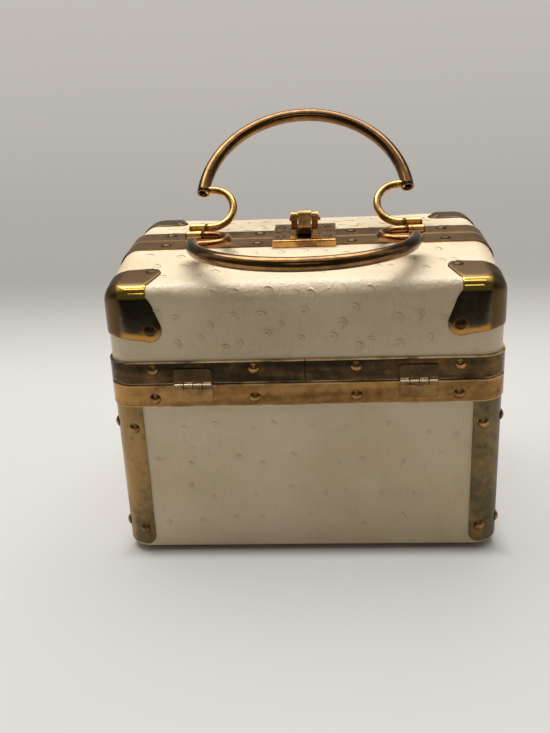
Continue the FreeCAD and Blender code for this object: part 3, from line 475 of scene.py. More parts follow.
def sweepPaper():  # mostly a flat tone to the camera, with painted shade behind the case, darkest on the far floor and lighter up the wall, and shaded where the case stands
    finish = Finish("sweepPaper")
    depth = finish.axis("Y")
    seen = finish.make("ShaderNodeLightPath", out="Is Camera Ray")
    room = finish.band(depth, stageLook["dimTo"], stageLook["dimFrom"], 1.0, 0.0) * (1.0 - seen)
    colour = finish.mix(room, tone(stageLook["pale"]), tone(stageLook["dim"]))
    finish.surface(Base_Color=colour, Roughness=stageLook["rough"])
    # painted shade: the far floor and the wall are darker low down and lighter higher up
    rise = finish.band(depth + finish.axis("Z"), stageLook["farTo"], stageLook["upperTo"])
    shadedBackdrop = finish.mix(rise, tone(stageLook["horizon"]), tone(stageLook["upper"]))
    behind = finish.band(depth, stageLook["farFrom"], stageLook["farTo"])
    shadedBackdrop = finish.mix(behind, tone(stageLook["pale"]), shadedBackdrop)
    glow = finish.make("ShaderNodeEmission", sockets={"Color": shadedBackdrop, "Strength": 1.0})
    besideX = finish.away("X") - stageLook["footX"]
    besideY = finish.away("Y") - stageLook["footY"]
    apart = finish.work("MAXIMUM", besideX, besideY)
    flat = finish.band(apart, 0.0, stageLook["clear"], stageLook["close"], stageLook["flat"])
    share = (behind * (1.0 - flat) + flat) * seen
    paper = Socket(finish.tree, finish.shader.outputs[0])
    both = finish.make("ShaderNodeMixShader", sockets={0: share, 1: paper, 2: glow})
    finish.tree.links.new(both.socket, finish.tree.nodes["Material Output"].inputs["Surface"])
    return finish.material


def buildStage():
    mesh = sweepMesh()
    mesh.materials.append(sweepPaper())
    sweep = bpy.data.objects.new("sweep", mesh)
    scene.collection.objects.link(sweep)


buildStage()

# Camera at the photograph's place, with its axes from three turns
cameraLook = {"place": (0.017991, -0.575703, 0.333853), "yaw": -0.071, "pitch": -0.396, "roll": -0.048,
              "lens": 45.65, "sensor": 36.0, "nearest": 0.01}


def buildCamera():
    yaw, pitch, roll = (cameraLook[turn] for turn in ("yaw", "pitch", "roll"))
    level = Vector((math.sin(yaw), math.cos(yaw), 0))
    flat = Vector((math.cos(yaw), -math.sin(yaw), 0))
    plumb = Vector((0, 0, 1))
    forward = math.cos(pitch) * level + math.sin(pitch) * plumb
    head = math.cos(pitch) * plumb - math.sin(pitch) * level
    right = math.cos(roll) * flat + math.sin(roll) * head
    up = math.cos(roll) * head - math.sin(roll) * flat
    data = bpy.data.cameras.new("camera")
    data.lens = cameraLook["lens"]
    data.sensor_width = cameraLook["sensor"]
    data.clip_start = cameraLook["nearest"]
    camera = bpy.data.objects.new("camera", data)
    turn = Matrix((right, up, -forward)).transposed().to_4x4()
    camera.matrix_world = Matrix.Translation(cameraLook["place"]) @ turn
    scene.collection.objects.link(camera)
    scene.camera = camera


buildCamera()

# Light: a broad soft box overhead and a little behind, two weak strips in front, a room dim in front
lamps = {
    "softBox": {"power": 17.2, "place": (-0.1, 0.4, 1.15), "aim": (0, 0.02, 0.1), "size": (1.3, 0.9)},
    "highStrip": {"power": 0.75, "place": (0, -0.4, 1.2), "aim": (0, -0.08, 0.17), "size": (0.9, 0.14)},
    "frontStrip": {"power": 0.8, "place": (0, -1.5, 0.95), "aim": (0, -0.08, 0.17), "size": (0.9, 0.24)},
}
roomLook = {"dim": (0.06, 0.058, 0.054, 1.0), "bright": (0.9, 0.9, 0.9, 1.0), "dimTo": 0.05,
            "brightFrom": 0.75, "backShare": 0.6, "topShare": 0.5}


def buildLamps():
    for name, look in lamps.items():
        data = bpy.data.lights.new(name, "AREA")
        data.shape = "RECTANGLE"
        data.size, data.size_y = look["size"]
        data.energy = look["power"]
        lamp = bpy.data.objects.new(name, data)
        lamp.location = look["place"]
        aim = Vector(look["aim"]) - lamp.location
        lamp.rotation_mode = "QUATERNION"
        lamp.rotation_quaternion = aim.to_track_quat("-Z", "Y")
        scene.collection.objects.link(lamp)


def buildRoom():  # the world: lit from the back and above, and a plain wall tone to the camera
    world = bpy.data.worlds.new("room")
    scene.world = world
    world.use_nodes = True
    tree = world.node_tree
    way = tree.nodes.new("ShaderNodeTexCoord")
    parts = tree.nodes.new("ShaderNodeSeparateXYZ")
    tree.links.new(way.outputs["Generated"], parts.inputs[0])
    fromBack = Socket(tree, parts.outputs["Y"]) * roomLook["backShare"]
    lift = fromBack + Socket(tree, parts.outputs["Z"]) * roomLook["topShare"]
    ramp = tree.nodes.new("ShaderNodeValToRGB")
    dim, bright = ramp.color_ramp.elements
    dim.position = roomLook["dimTo"]
    dim.color = roomLook["dim"]
    bright.position = roomLook["brightFrom"]
    bright.color = roomLook["bright"]
    tree.links.new(lift.socket, ramp.inputs[0])
    path = tree.nodes.new("ShaderNodeLightPath")
    seen = tree.nodes.new("ShaderNodeMix")
    seen.data_type = "RGBA"
    seen.inputs[7].default_value = tone(stageLook["upper"])
    tree.links.new(path.outputs["Is Camera Ray"], seen.inputs[0])
    tree.links.new(ramp.outputs[0], seen.inputs[6])
    tree.links.new(seen.outputs[2], tree.nodes["Background"].inputs[0])


buildLamps()
buildRoom()
print("stage, camera and light set")


def addPiece(name, mesh, body, finish, node=None):
    piece = bpy.data.objects.new(name, mesh)
    scene.collection.objects.link(piece)
    mesh.materials.clear()
    mesh.materials.append(finishes[finish])
    mesh.shade_smooth()
    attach(piece, body)
    if node:
        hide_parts(node)
    return piece


meshCare = {"merge": 0.02, "sliver": 0.01, "weld": 0.01}  # distances in millimetres that close a mesh


def meshFrom(name, points, faces):
    mesh = bpy.data.meshes.new(name)
    mesh.from_pydata(points, [], faces)
    shape = bmesh.new()
    shape.from_mesh(mesh)
    bmesh.ops.remove_doubles(shape, verts=shape.verts, dist=meshCare["merge"] * mm)
    bmesh.ops.dissolve_degenerate(shape, edges=shape.edges, dist=meshCare["sliver"] * mm)
    bmesh.ops.recalc_face_normals(shape, faces=shape.faces)
    shape.to_mesh(mesh)
    shape.free()
    return mesh


def gridFaces(rows, columns, start=0):  # faces between open rows of points
    faces = []
    for row in range(rows - 1):
        for column in range(columns - 1):
            first = start + row * columns + column
            faces.append((first, first + 1, first + columns + 1, first + columns))
    return faces


def roundFaces(rows, sides):  # faces between closed rings of points
    faces = []
    for row in range(rows - 1):
        for side in range(sides):
            first = row * sides + side
            beside = row * sides + (side + 1) % sides
            faces.append((first, beside, beside + sides, first + sides))
    return faces


def circle(radius, height, sides):
    turns = [2 * math.pi * side / sides for side in range(sides)]
    return [(radius * math.cos(turn) * mm, radius * math.sin(turn) * mm, height * mm) for turn in turns]


def ease(share):
    return share * share * (3 - 2 * share)


# Coverings, lid boards and linings, in millimetres
caseSize = {"halfWidth": 115.0, "halfDepth": 79.5, "top": 180.4, "drop": 5.1, "flat": 20.0, "corner": 14.0,
            "end": 12.0, "fold": 5.5, "softFold": 9.5, "softFrom": 58.0, "softTo": 82.0, "split": 0.4,
            "rim": 116.4, "mouth": 115.6, "floor": 3.0, "toe": 3.0, "trayToe": 0.6, "skin": 0.8,
            "boardIn": 0.9, "board": 3.0, "liningIn": 4.5, "cloth": 0.5, "meet": 0.1}
lidSteps = {"front": 24, "corner": 12, "end": 8, "wall": 10, "fold": 9, "roof": 14}
baseSteps = {"corner": 12, "toe": 6, "wall": 16}


def roofHeight(depth):  # level near the split, then falling to the long edge
    slope = caseSize["drop"] / (caseSize["halfDepth"] - caseSize["flat"])
    return caseSize["top"] - max(depth - caseSize["flat"], 0.0) * slope


def foldRadius(part, share, soft=False):  # tight under the caps, wide over the ends, blended between
    tight = caseSize["fold"]
    if part == "end":
        return caseSize["end"]
    if part == "corner":
        return tight + (caseSize["end"] - tight) * ease(share)
    if not soft:
        return tight
    x = share * (caseSize["halfWidth"] - caseSize["corner"])
    puff = (caseSize["softTo"] - x) / (caseSize["softTo"] - caseSize["softFrom"])
    return tight + (caseSize["softFold"] - tight) * ease(min(max(puff, 0.0), 1.0))


def lidPlace(part, share, tuck, grow, inner):  # a place in plan, tuck in from the grown outline
    wide = caseSize["halfWidth"] + grow - tuck
    deep = caseSize["halfDepth"] + grow - tuck
    straightX = caseSize["halfWidth"] - caseSize["corner"]
    straightY = caseSize["halfDepth"] - caseSize["corner"]
    if part == "front":
        return inner + (min(straightX, wide) - inner) * share, deep
    if part == "end":
        far = min(straightY, deep)
        return wide, far + (inner - far) * share
    radius = caseSize["corner"] + grow - tuck
    if radius <= 0:
        return wide, deep
    turn = math.pi / 2 * share
    return straightX + radius * math.sin(turn), straightY + radius * math.cos(turn)


def lidHeight(depth, tuck, radius, grow):
    short = max(radius - tuck, 0.0)
    return roofHeight(depth) + grow - radius + math.sqrt(radius ** 2 - short ** 2)


def lidRows(steps):  # shares along the front, round the corner and back along the end
    rows = [("front", step / steps["front"]) for step in range(steps["front"])]
    rows += [("corner", step / steps["corner"]) for step in range(steps["corner"])]
    return rows + [("end", step / steps["end"]) for step in range(steps["end"] + 1)]


def lidColumn(part, share, grow):  # one line of a lid's skin, from the rim up and over to the split
    radius = foldRadius(part, share, True) + grow
    inner = 0.0 if part == "front" else caseSize["split"]
    x, y = lidPlace(part, share, 0.0, grow, inner)
    rise = lidHeight(y, 0.0, radius, grow) - caseSize["rim"]
    line = [(x, y, caseSize["rim"] + rise * step / lidSteps["wall"]) for step in range(lidSteps["wall"])]
    turns = [math.pi / 2 * step / lidSteps["fold"] for step in range(lidSteps["fold"])]
    tucks = [radius * (1 - math.cos(turn)) for turn in turns]
    inside = caseSize["corner"] + grow + caseSize["meet"]  # from here in, the corner rows meet in one point
    tucks += [radius, (radius + inside) / 2]
    last = caseSize["halfDepth"] + grow - caseSize["split"]
    tucks += [inside + (last - inside) * step / lidSteps["roof"] for step in range(lidSteps["roof"] + 1)]
    for tuck in tucks:
        x, y = lidPlace(part, share, tuck, grow, inner)
        line.append((x, y, lidHeight(y, tuck, radius, grow)))
    return line


def lidSkin(name, inset, side):
    points = []
    faces = []
    rows = lidRows(lidSteps)
    for flip in (-1, 1):
        start = len(points)
        for part, share in rows:
            line = lidColumn(part, share, -inset)
            points += [(x * flip * mm, y * side * mm, z * mm) for x, y, z in line]
        faces += gridFaces(len(rows), len(line), start)
    return meshFrom(name, points, faces)


def planOutline(inset):
    x = caseSize["halfWidth"] - caseSize["corner"]
    y = caseSize["halfDepth"] - caseSize["corner"]
    radius = caseSize["corner"] - inset
    outline = []
    for centreX, centreY, start in ((x, y, 0), (-x, y, 90), (-x, -y, 180), (x, -y, 270)):
        for step in range(baseSteps["corner"] + 1):
            turn = math.radians(start + 90 * step / baseSteps["corner"])
            outline.append((centreX + radius * math.cos(turn), centreY + radius * math.sin(turn)))
    return outline


def baseSkin(name, inset, toe):
    rings = []
    floor = caseSize["floor"] + inset
    for step in range(baseSteps["toe"] + 1):
        turn = math.pi / 2 * step / baseSteps["toe"]
        rings.append((inset + toe * (1 - math.sin(turn)), floor + toe * (1 - math.cos(turn))))
    wall = caseSize["mouth"] - floor - toe
    for step in range(1, baseSteps["wall"] + 1):
        rings.append((inset, floor + toe + wall * step / baseSteps["wall"]))
    points = []
    for tuck, z in rings:
        points += [(x * mm, y * mm, z * mm) for x, y in planOutline(tuck)]
    count = len(planOutline(0))
    return meshFrom(name, points, [tuple(reversed(range(count)))] + roundFaces(len(rings), count))


def thicken(piece, depth):
    wall = piece.modifiers.new("wall", "SOLIDIFY")
    wall.thickness = depth * mm
    wall.offset = -1  # away from the side that the faces show


def turnInwards(mesh):
    mesh.flip_normals()
    return mesh


skins = []
for lid, side in halves.items():
    body = lid + "_lid"
    cover = lidSkin(lid + "LidCover", 0.0, side)
    skins.append(addPiece(lid + "LidCover", cover, body, "ivoryCover", body + "_cover"))
    board = lidSkin(lid + "LidBoard", caseSize["boardIn"], side)
    thicken(addPiece(lid + "LidBoard", board, body, "greyBoard", body + "_shell"), caseSize["board"])
    lining = turnInwards(lidSkin(lid + "LidLining", caseSize["liningIn"], side))
    thicken(addPiece(lid + "LidLining", lining, body, "liningCloth", body + "_lining"), caseSize["cloth"])
cover = baseSkin("baseCover", 0.0, caseSize["toe"])
skins.append(addPiece("baseCover", cover, "base", "ivoryCover", "base_cover"))
lining = turnInwards(baseSkin("baseLining", caseSize["liningIn"], caseSize["trayToe"]))
thicken(addPiece("baseLining", lining, "base", "liningCloth", "base_lining"), caseSize["cloth"])
for skin in skins:
    thicken(skin, caseSize["skin"])
print("covers, lid boards and linings drawn")

# Corner caps: three petals of thin brass over each top corner, domed towards their middles
capSize = {"shoulder": 173.0, "inner": 89.0, "tip": 81.2, "tipHigh": 150.8, "low": 142.6, "lowStart": 88.4,
           "lowEnd": 90.0, "cornerLow": 147.0, "shift": 35.5, "topFront": 77.0, "topTip": 83.0,
           "topTipY": 59.0, "topBack": 51.5, "topBackX": 88.0, "topBackRun": 15.0, "farTuck": 27.4,
           "proud": 1.0, "rimProud": 0.35, "sunk": -0.25, "rimRows": 3.0}
capSteps = {"front": 10, "corner": 12, "end": 10, "crowd": 1.5, "wall": 10, "wallCrowd": 1.6, "fold": 9,
            "shoulder": 2, "roof": 12}


def petalSide(height):  # how far the side petal reaches from the corner, by height
    if height >= capSize["shoulder"]:
        return capSize["inner"]
    if height >= capSize["tipHigh"]:
        share = (capSize["shoulder"] - height) / (capSize["shoulder"] - capSize["tipHigh"])
        return capSize["inner"] + (capSize["tip"] - capSize["inner"]) * share
    share = min((capSize["tipHigh"] - height) / (capSize["tipHigh"] - capSize["low"]), 1.0)
    return capSize["tip"] + (capSize["lowStart"] - capSize["tip"]) * (1 - math.sqrt(1 - share * share))


def petalTop(depth):  # the same for the top petal, by depth from the split
    tip = capSize["topTip"]
    if depth >= capSize["topTipY"]:
        share = min((capSize["topFront"] - depth) / (capSize["topFront"] - capSize["topTipY"]), 1.0)
        return capSize["inner"] + (tip - capSize["inner"]) * max(share, 0.0)
    share = min((capSize["topTipY"] - depth) / (capSize["topTipY"] - capSize["topBack"]), 1.0)
    return tip + (capSize["topBackX"] - tip) * (1 - math.sqrt(1 - share * share))


def petalLow(reach):  # the lower edge, rising to the corner
    slope = (capSize["cornerLow"] - capSize["low"]) / (caseSize["halfWidth"] - capSize["lowEnd"])
    return capSize["low"] + max(min(reach, caseSize["halfWidth"]) - capSize["lowEnd"], 0.0) * slope


def capLow(part, share):
    straight = caseSize["halfWidth"] - caseSize["corner"]
    if part == "corner":
        turn = math.pi / 2 * min(share, 1 - share)
        return petalLow(straight + caseSize["corner"] * math.sin(turn))
    along = share if part == "front" else 1 - share
    return petalLow(capSize["lowStart"] + (straight - capSize["lowStart"]) * along)


def capGrow(sunk, edge, column):  # how far the brass stands off the covering, least at its rim
    if sunk:
        return capSize["sunk"]
    rim = 1 - min(min(edge, column) / capSize["rimRows"], 1.0)
    return capSize["rimProud"] + (capSize["proud"] - capSize["rimProud"]) * (1 - rim * rim)


def capTuck(column, rounded):  # how far in from the outline a column lies, from the wall over to the roof
    step = column - capSteps["wall"]
    if step < 0:
        return 0.0
    if step < capSteps["fold"]:
        return rounded * (1 - math.cos(math.pi / 2 * step / capSteps["fold"]))
    step -= capSteps["fold"]
    inside = caseSize["corner"] + capSize["proud"] + caseSize["meet"]
    if step < capSteps["shoulder"]:
        return rounded + (inside - rounded) * step / capSteps["shoulder"]
    step -= capSteps["shoulder"]
    return inside + (capSize["farTuck"] - inside) * step / capSteps["roof"]


def capLine(part, share, sunk, edge):
    radius = foldRadius(part, share)
    low = capLow(part, share)
    line = []
    for column in range(capSteps["wall"] + capSteps["fold"] + capSteps["shoulder"] + capSteps["roof"] + 1):
        grow = capGrow(sunk, edge, column)
        rounded = radius + grow
        tuck = capTuck(column, rounded)
        level = capSize["shoulder"]
        if column < capSteps["wall"]:
            eaveY = lidPlace(part, share, tuck, grow, capSize["inner"] - capSize["shift"])[1]
            rise = lidHeight(eaveY, 0.0, rounded, grow) - low
            level = low + rise * (column / capSteps["wall"]) ** capSteps["wallCrowd"]
        if tuck >= rounded:
            inner = petalTop(caseSize["halfDepth"] + grow - tuck)
            widest = caseSize["halfWidth"] + grow - tuck
            back = capSize["topBack"] + (widest - capSize["topBackX"]) / capSize["topBackRun"]
        else:
            inner = petalSide(level)
            back = inner - capSize["shift"]
        x, y = lidPlace(part, share, tuck, grow, inner if part == "front" else back)
        if column >= capSteps["wall"]:
            level = lidHeight(y, tuck, rounded, grow)
        line.append((x, y, level))
    return line


def capRows():  # the lid's rows, crowded towards the petals' free edges
    rows = []
    for part, share in lidRows(capSteps):
        if part == "front":
            share = share ** capSteps["crowd"]
        elif part == "end":
            share = 1 - (1 - share) ** capSteps["crowd"]
        rows.append((part, share))
    return rows


def capShell(name, flip, side):
    rows = capRows()
    points = []
    for sunk in (False, True):
        for row, (part, share) in enumerate(rows):
            line = capLine(part, share, sunk, min(row, len(rows) - 1 - row))
            points += [(x * flip * mm, y * side * mm, z * mm) for x, y, z in line]
    columns = len(line)
    count = len(rows) * columns
    faces = gridFaces(len(rows), columns) + gridFaces(len(rows), columns, count)
    loop = list(range(columns))
    loop += [row * columns + columns - 1 for row in range(1, len(rows))]
    loop += [(len(rows) - 1) * columns + column for column in range(columns - 2, -1, -1)]
    loop += [row * columns for row in range(len(rows) - 2, 0, -1)]
    for first, second in zip(loop, loop[1:] + loop[:1]):
        faces.append((first, second, second + count, first + count))
    return meshFrom(name, points, faces)


for lid, side in halves.items():
    for hand, flip in hands.items():
        name = lid + "Cap" + hand.title()
        addPiece(name, capShell(name, flip, side), lid + "_lid", "capBrass", lid + "_cap_" + hand)
print("corner caps drawn")


# Geometry Nodes: one small shape set on points, turned to each point's own direction
def scatterTree(name, finish):
    tree = bpy.data.node_groups.new(name, "GeometryNodeTree")
    tree.interface.new_socket("Geometry", in_out="INPUT", socket_type="NodeSocketGeometry")
    tree.interface.new_socket("Shape", in_out="INPUT", socket_type="NodeSocketObject")
    size = tree.interface.new_socket("Size", in_out="INPUT", socket_type="NodeSocketFloat")
    size.default_value = 1.0
    tree.interface.new_socket("Geometry", in_out="OUTPUT", socket_type="NodeSocketGeometry")
    entry = tree.nodes.new("NodeGroupInput")
    leave = tree.nodes.new("NodeGroupOutput")
    turn = tree.nodes.new("GeometryNodeInputNamedAttribute")
    turn.data_type = "FLOAT_VECTOR"
    turn.inputs["Name"].default_value = "turn"
    grow = tree.nodes.new("GeometryNodeInputNamedAttribute")
    grow.data_type = "FLOAT"
    grow.inputs["Name"].default_value = "grow"
    shape = tree.nodes.new("GeometryNodeObjectInfo")
    place = tree.nodes.new("GeometryNodeInstanceOnPoints")
    scale = tree.nodes.new("ShaderNodeMath")
    scale.operation = "MULTIPLY"
    rotate = tree.nodes.new("FunctionNodeEulerToRotation")
    realize = tree.nodes.new("GeometryNodeRealizeInstances")
    colour = tree.nodes.new("GeometryNodeSetMaterial")
    colour.inputs["Material"].default_value = finish
    link = tree.links.new
    link(entry.outputs["Geometry"], place.inputs["Points"])
    link(entry.outputs["Shape"], shape.inputs["Object"])
    link(shape.outputs["Geometry"], place.inputs["Instance"])
    link(turn.outputs["Attribute"], rotate.inputs[0])
    link(rotate.outputs[0], place.inputs["Rotation"])
    link(grow.outputs["Attribute"], scale.inputs[0])
    link(entry.outputs["Size"], scale.inputs[1])
    link(scale.outputs[0], place.inputs["Scale"])
    link(place.outputs[0], realize.inputs[0])
    link(realize.outputs[0], colour.inputs[0])
    link(colour.outputs[0], leave.inputs[0])
    return tree


def scatter(name, seats, shape, finish):  # seats are (place, outward direction, upward direction, size)
    mesh = bpy.data.meshes.new(name + "Seats")
    mesh.from_pydata([seat[0] for seat in seats], [], [])
    mesh.attributes.new("turn", "FLOAT_VECTOR", "POINT")
    mesh.attributes.new("grow", "FLOAT", "POINT")
    for index, (place, out, up, size) in enumerate(seats):
        side = up.cross(out).normalized()
        head = out.cross(side)
        mesh.attributes["turn"].data[index].vector = Matrix((side, head, out)).transposed().to_euler()
        mesh.attributes["grow"].data[index].value = size
    holder = bpy.data.objects.new(name, mesh)
    scene.collection.objects.link(holder)
    tree = scatterTree(name, finishes[finish])
    spread = holder.modifiers.new("scatter", "NODES")
    keys = {item.name: item.identifier for item in tree.interface.items_tree if item.in_out == "INPUT"}
    spread.node_group = tree
    spread[keys["Shape"]] = shape
    spread[keys["Size"]] = 1.0
    graph = bpy.context.evaluated_depsgraph_get()
    made = bpy.data.meshes.new_from_object(holder.evaluated_get(graph))
    bpy.data.objects.remove(holder)
    return made


def pattern(name, points, faces):
    mesh = meshFrom(name, points, faces)
    mesh.shade_smooth()
    shape = bpy.data.objects.new(name, mesh)
    scene.collection.objects.link(shape)
    return shape


# Rivets: domed heads in the places of the solid heads
rivetLook = {"radius": 3.45, "rise": 1.8, "trimRise": 1.35, "studRadius": 2.6, "studRise": 0.8,
             "sides": 20, "rings": 6, "sink": 0.15, "seatBand": 0.05, "steep": 0.9}


def looseHeads(shape):  # the faces of each separate head in a group
    left = set(shape.faces)
    while left:
        queue = [left.pop()]
        head = list(queue)
        while queue:
            face = queue.pop()
            for other in {other for edge in face.edges for other in edge.link_faces} & left:
                left.remove(other)
                queue.append(other)
                head.append(other)
        yield head


def rivetSeats(mesh):  # middle and outward direction of each head's flat back
    shape = bmesh.new()
    shape.from_mesh(mesh)
    bmesh.ops.remove_doubles(shape, verts=shape.verts, dist=meshCare["weld"] * mm)
    seats = []
    for head in looseHeads(shape):
        area = {}
        for face in head:
            key = tuple(round(value, 2) for value in face.normal)
            area[key] = area.get(key, 0) + face.calc_area()
        back = Vector(max(area, key=area.get)).normalized()
        corners = {vert for face in head for vert in face.verts}
        level = max(vert.co.dot(back) for vert in corners)
        rim = [vert.co for vert in corners if level - vert.co.dot(back) < rivetLook["seatBand"] * mm]
        upright = Vector((0, 0, 1)) if abs(back.z) < rivetLook["steep"] else Vector((0, 1, 0))
        seats.append((sum(rim, Vector()) / len(rim), -back, upright, 1.0))
    shape.free()
    return seats


def domeShape(name, radius, rise):  # a low dome with a small upright rim
    sides = rivetLook["sides"]
    ball = (radius ** 2 + rise ** 2) / (2 * rise)
    rings = [(radius, -rivetLook["sink"])]
    for step in range(rivetLook["rings"]):
        turn = math.asin(radius / ball) * (1 - step / rivetLook["rings"])
        rings.append((ball * math.sin(turn), ball * math.cos(turn) - ball + rise))
    points = []
    for reach, height in rings:
        points += circle(reach, height, sides)
    points.append((0, 0, rise * mm))
    faces = [tuple(reversed(range(sides)))] + roundFaces(len(rings), sides)
    last = (len(rings) - 1) * sides
    faces += [(last + side, last + (side + 1) % sides, len(points) - 1) for side in range(sides)]
    dome = pattern(name, points, faces)
    dome.data.attributes.new("rise", "FLOAT", "POINT")
    for vert in dome.data.vertices:
        dome.data.attributes["rise"].data[vert.index].value = max(vert.co.z, 0.0) / (rise * mm)
    return dome


rivetDome = domeShape("rivetDome", rivetLook["radius"], rivetLook["rise"])
trimDome = domeShape("trimDome", rivetLook["radius"], rivetLook["trimRise"])
studDome = domeShape("studDome", rivetLook["studRadius"], rivetLook["studRise"])
for name in [node for node in nodes if node.endswith("_rivets")]:
    body = nodes[name]["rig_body"]
    dome = studDome if "clasp" in name else trimDome if "trim" in name else rivetDome
    finish = "rivetBrass" if dome is rivetDome else "trimRivetBrass"
    heads = scatter(name + "Heads", rivetSeats(nodes[name].data), dome, finish)
    addPiece(name + "Heads", heads, body, finish, name)
for shape in (rivetDome, trimDome, studDome):
    bpy.data.objects.remove(shape)
print("rivets set")

# Quill marks: a raised crescent with a small bump inside it, in loose rows over every face
quillLook = {"arc": 2.7, "wide": 1.5, "rise": 0.7, "from": -50, "to": 140, "steps": 10, "sink": 0.08,
             "tip": 0.06, "taper": 0.88, "bump": 1.3, "bumpRise": 0.3, "bumpSides": 9,
             "shoulder": 0.6, "shoulderRise": 0.62, "spacing": 15.0, "stagger": 0.25, "loose": 5.0,
             "turn": 0.6, "small": 0.8, "large": 1.2, "faint": 0.75, "foldCount": 8, "foldLoose": 4.0,
             "foldLow": 38, "foldHigh": 72, "foldSink": 0.3, "seed": 11}
quillFields = {"baseSide": (94, 42), "baseEnd": (58, 42), "baseTop": 101.8, "lidSide": (96, 14.5),
               "lidEnd": (21, 14), "lidLevel": 149, "endLine": 42, "roof": (95, 22), "roofLine": 44.0}


def quillShape():
    points = []
    faces = []
    steps = quillLook["steps"]
    for step in range(steps + 1):
        share = step / steps
        turn = math.radians(quillLook["from"] + (quillLook["to"] - quillLook["from"]) * share)
        taper = math.sin(math.pi * (quillLook["tip"] + quillLook["taper"] * share))
        half = quillLook["wide"] * taper / 2
        ridge = ((-half, -quillLook["sink"]), (0.0, quillLook["rise"] * taper), (half, -quillLook["sink"]))
        for reach, height in ridge:
            radius = quillLook["arc"] + reach
            points.append((radius * math.cos(turn) * mm, radius * math.sin(turn) * mm, height * mm))
    for step in range(steps):
        first = step * 3
        faces += [(first, first + 3, first + 4, first + 1), (first + 1, first + 4, first + 5, first + 2),
                  (first + 2, first + 5, first + 3, first)]
    last = steps * 3
    faces += [(0, 1, 2), (last + 2, last + 1, last)]
    start = len(points)
    sides = quillLook["bumpSides"]
    points += circle(quillLook["bump"], -quillLook["sink"], sides)
    points += circle(quillLook["bump"] * quillLook["shoulder"],
                     quillLook["shoulderRise"] * quillLook["bumpRise"], sides)
    points.append((0, 0, quillLook["bumpRise"] * mm))
    for side in range(sides):
        beside = (side + 1) % sides
        faces.append((start + side, start + beside, start + sides + beside, start + sides + side))
        faces.append((start + sides + side, start + sides + beside, len(points) - 1))
    faces.append(tuple(start + side for side in reversed(range(sides))))
    return pattern("quill", points, faces)


def quillSeats(dice, middle, across, upward, field, grow=1.0):  # loose staggered rows on one flat face
    halfWide, halfHigh = field
    out = across.cross(upward).normalized()
    spacing = quillLook["spacing"] / grow
    rows = max(round(2 * halfHigh / spacing), 1)
    columns = max(round(2 * halfWide / spacing), 1)
    seats = []
    for row in range(rows):
        stagger = quillLook["stagger"] if row % 2 else -quillLook["stagger"]
        for column in range(columns):
            step = (column + 0.5 + stagger) / columns
            x = (2 * step - 1) * halfWide + dice.uniform(-1, 1) * quillLook["loose"]
            y = (2 * (row + 0.5) / rows - 1) * halfHigh + dice.uniform(-1, 1) * quillLook["loose"]
            x = min(max(x, -halfWide), halfWide)
            y = min(max(y, -halfHigh), halfHigh)
            turn = dice.uniform(-1, 1) * quillLook["turn"]
            head = math.cos(turn) * upward + math.sin(turn) * across
            size = dice.uniform(quillLook["small"], quillLook["large"]) * grow
            seats.append(((middle + x * across + y * upward) * mm, out, head, size))
    return seats


def foldSeats(dice, side):  # one loose row along the soft fold, each mark square to the fold
    radius = caseSize["softFold"]
    deep = caseSize["halfDepth"] - radius
    level = roofHeight(caseSize["halfDepth"]) - radius
    seats = []
    for step in range(quillLook["foldCount"]):
        x = ((step + 0.5) / quillLook["foldCount"] * 2 - 1) * caseSize["softFrom"]
        x += dice.uniform(-1, 1) * quillLook["foldLoose"]
        turn = math.radians(dice.uniform(quillLook["foldLow"], quillLook["foldHigh"]))
        out = Vector((0, side * math.sin(turn), math.cos(turn)))
        head = Vector((0, -side * math.cos(turn), math.sin(turn)))
        place = Vector((x, side * deep, level)) + out * (radius - quillLook["foldSink"])
        size = dice.uniform(quillLook["small"], quillLook["large"])
        seats.append((place * mm, out, head, size))
    return seats


def baseQuills(dice):
    plumb = Vector((0, 0, 1))
    level = (caseSize["floor"] + quillFields["baseTop"]) / 2
    faint = quillLook["faint"]
    seats = []
    for side in (-1, 1):
        middle = Vector((0, side * caseSize["halfDepth"], level))
        seats += quillSeats(dice, middle, Vector((-side, 0, 0)), plumb, quillFields["baseSide"], faint)
        middle = Vector((side * caseSize["halfWidth"], 0, level))
        seats += quillSeats(dice, middle, Vector((0, side, 0)), plumb, quillFields["baseEnd"], faint)
    return seats


def lidQuills(dice, side):
    plumb = Vector((0, 0, 1))
    across = Vector((-side, 0, 0))
    middle = Vector((0, side * caseSize["halfDepth"], quillFields["lidLevel"]))
    seats = quillSeats(dice, middle, across, plumb, quillFields["lidSide"])
    seats += foldSeats(dice, side)
    fall = caseSize["drop"] / (caseSize["halfDepth"] - caseSize["flat"])
    roofLine = quillFields["roofLine"]
    middle = Vector((0, side * roofLine, roofHeight(roofLine)))
    seats += quillSeats(dice, middle, across, Vector((0, -side, fall)).normalized(), quillFields["roof"])
    endLine = side * quillFields["endLine"]
    for end in (-1, 1):
        middle = Vector((end * caseSize["halfWidth"], endLine, quillFields["lidLevel"]))
        seats += quillSeats(dice, middle, Vector((0, end, 0)), plumb, quillFields["lidEnd"])
    return seats


quill = quillShape()
dice = random.Random(quillLook["seed"])
quillRows = {"base": baseQuills(dice)}
for lid, side in halves.items():
    quillRows[lid + "_lid"] = lidQuills(dice, side)
for body, seats in quillRows.items():
    addPiece(body + "Quills", scatter(body + "Quills", seats, quill, "ivoryCover"), body, "ivoryCover")
bpy.data.objects.remove(quill)
print("quill marks set")

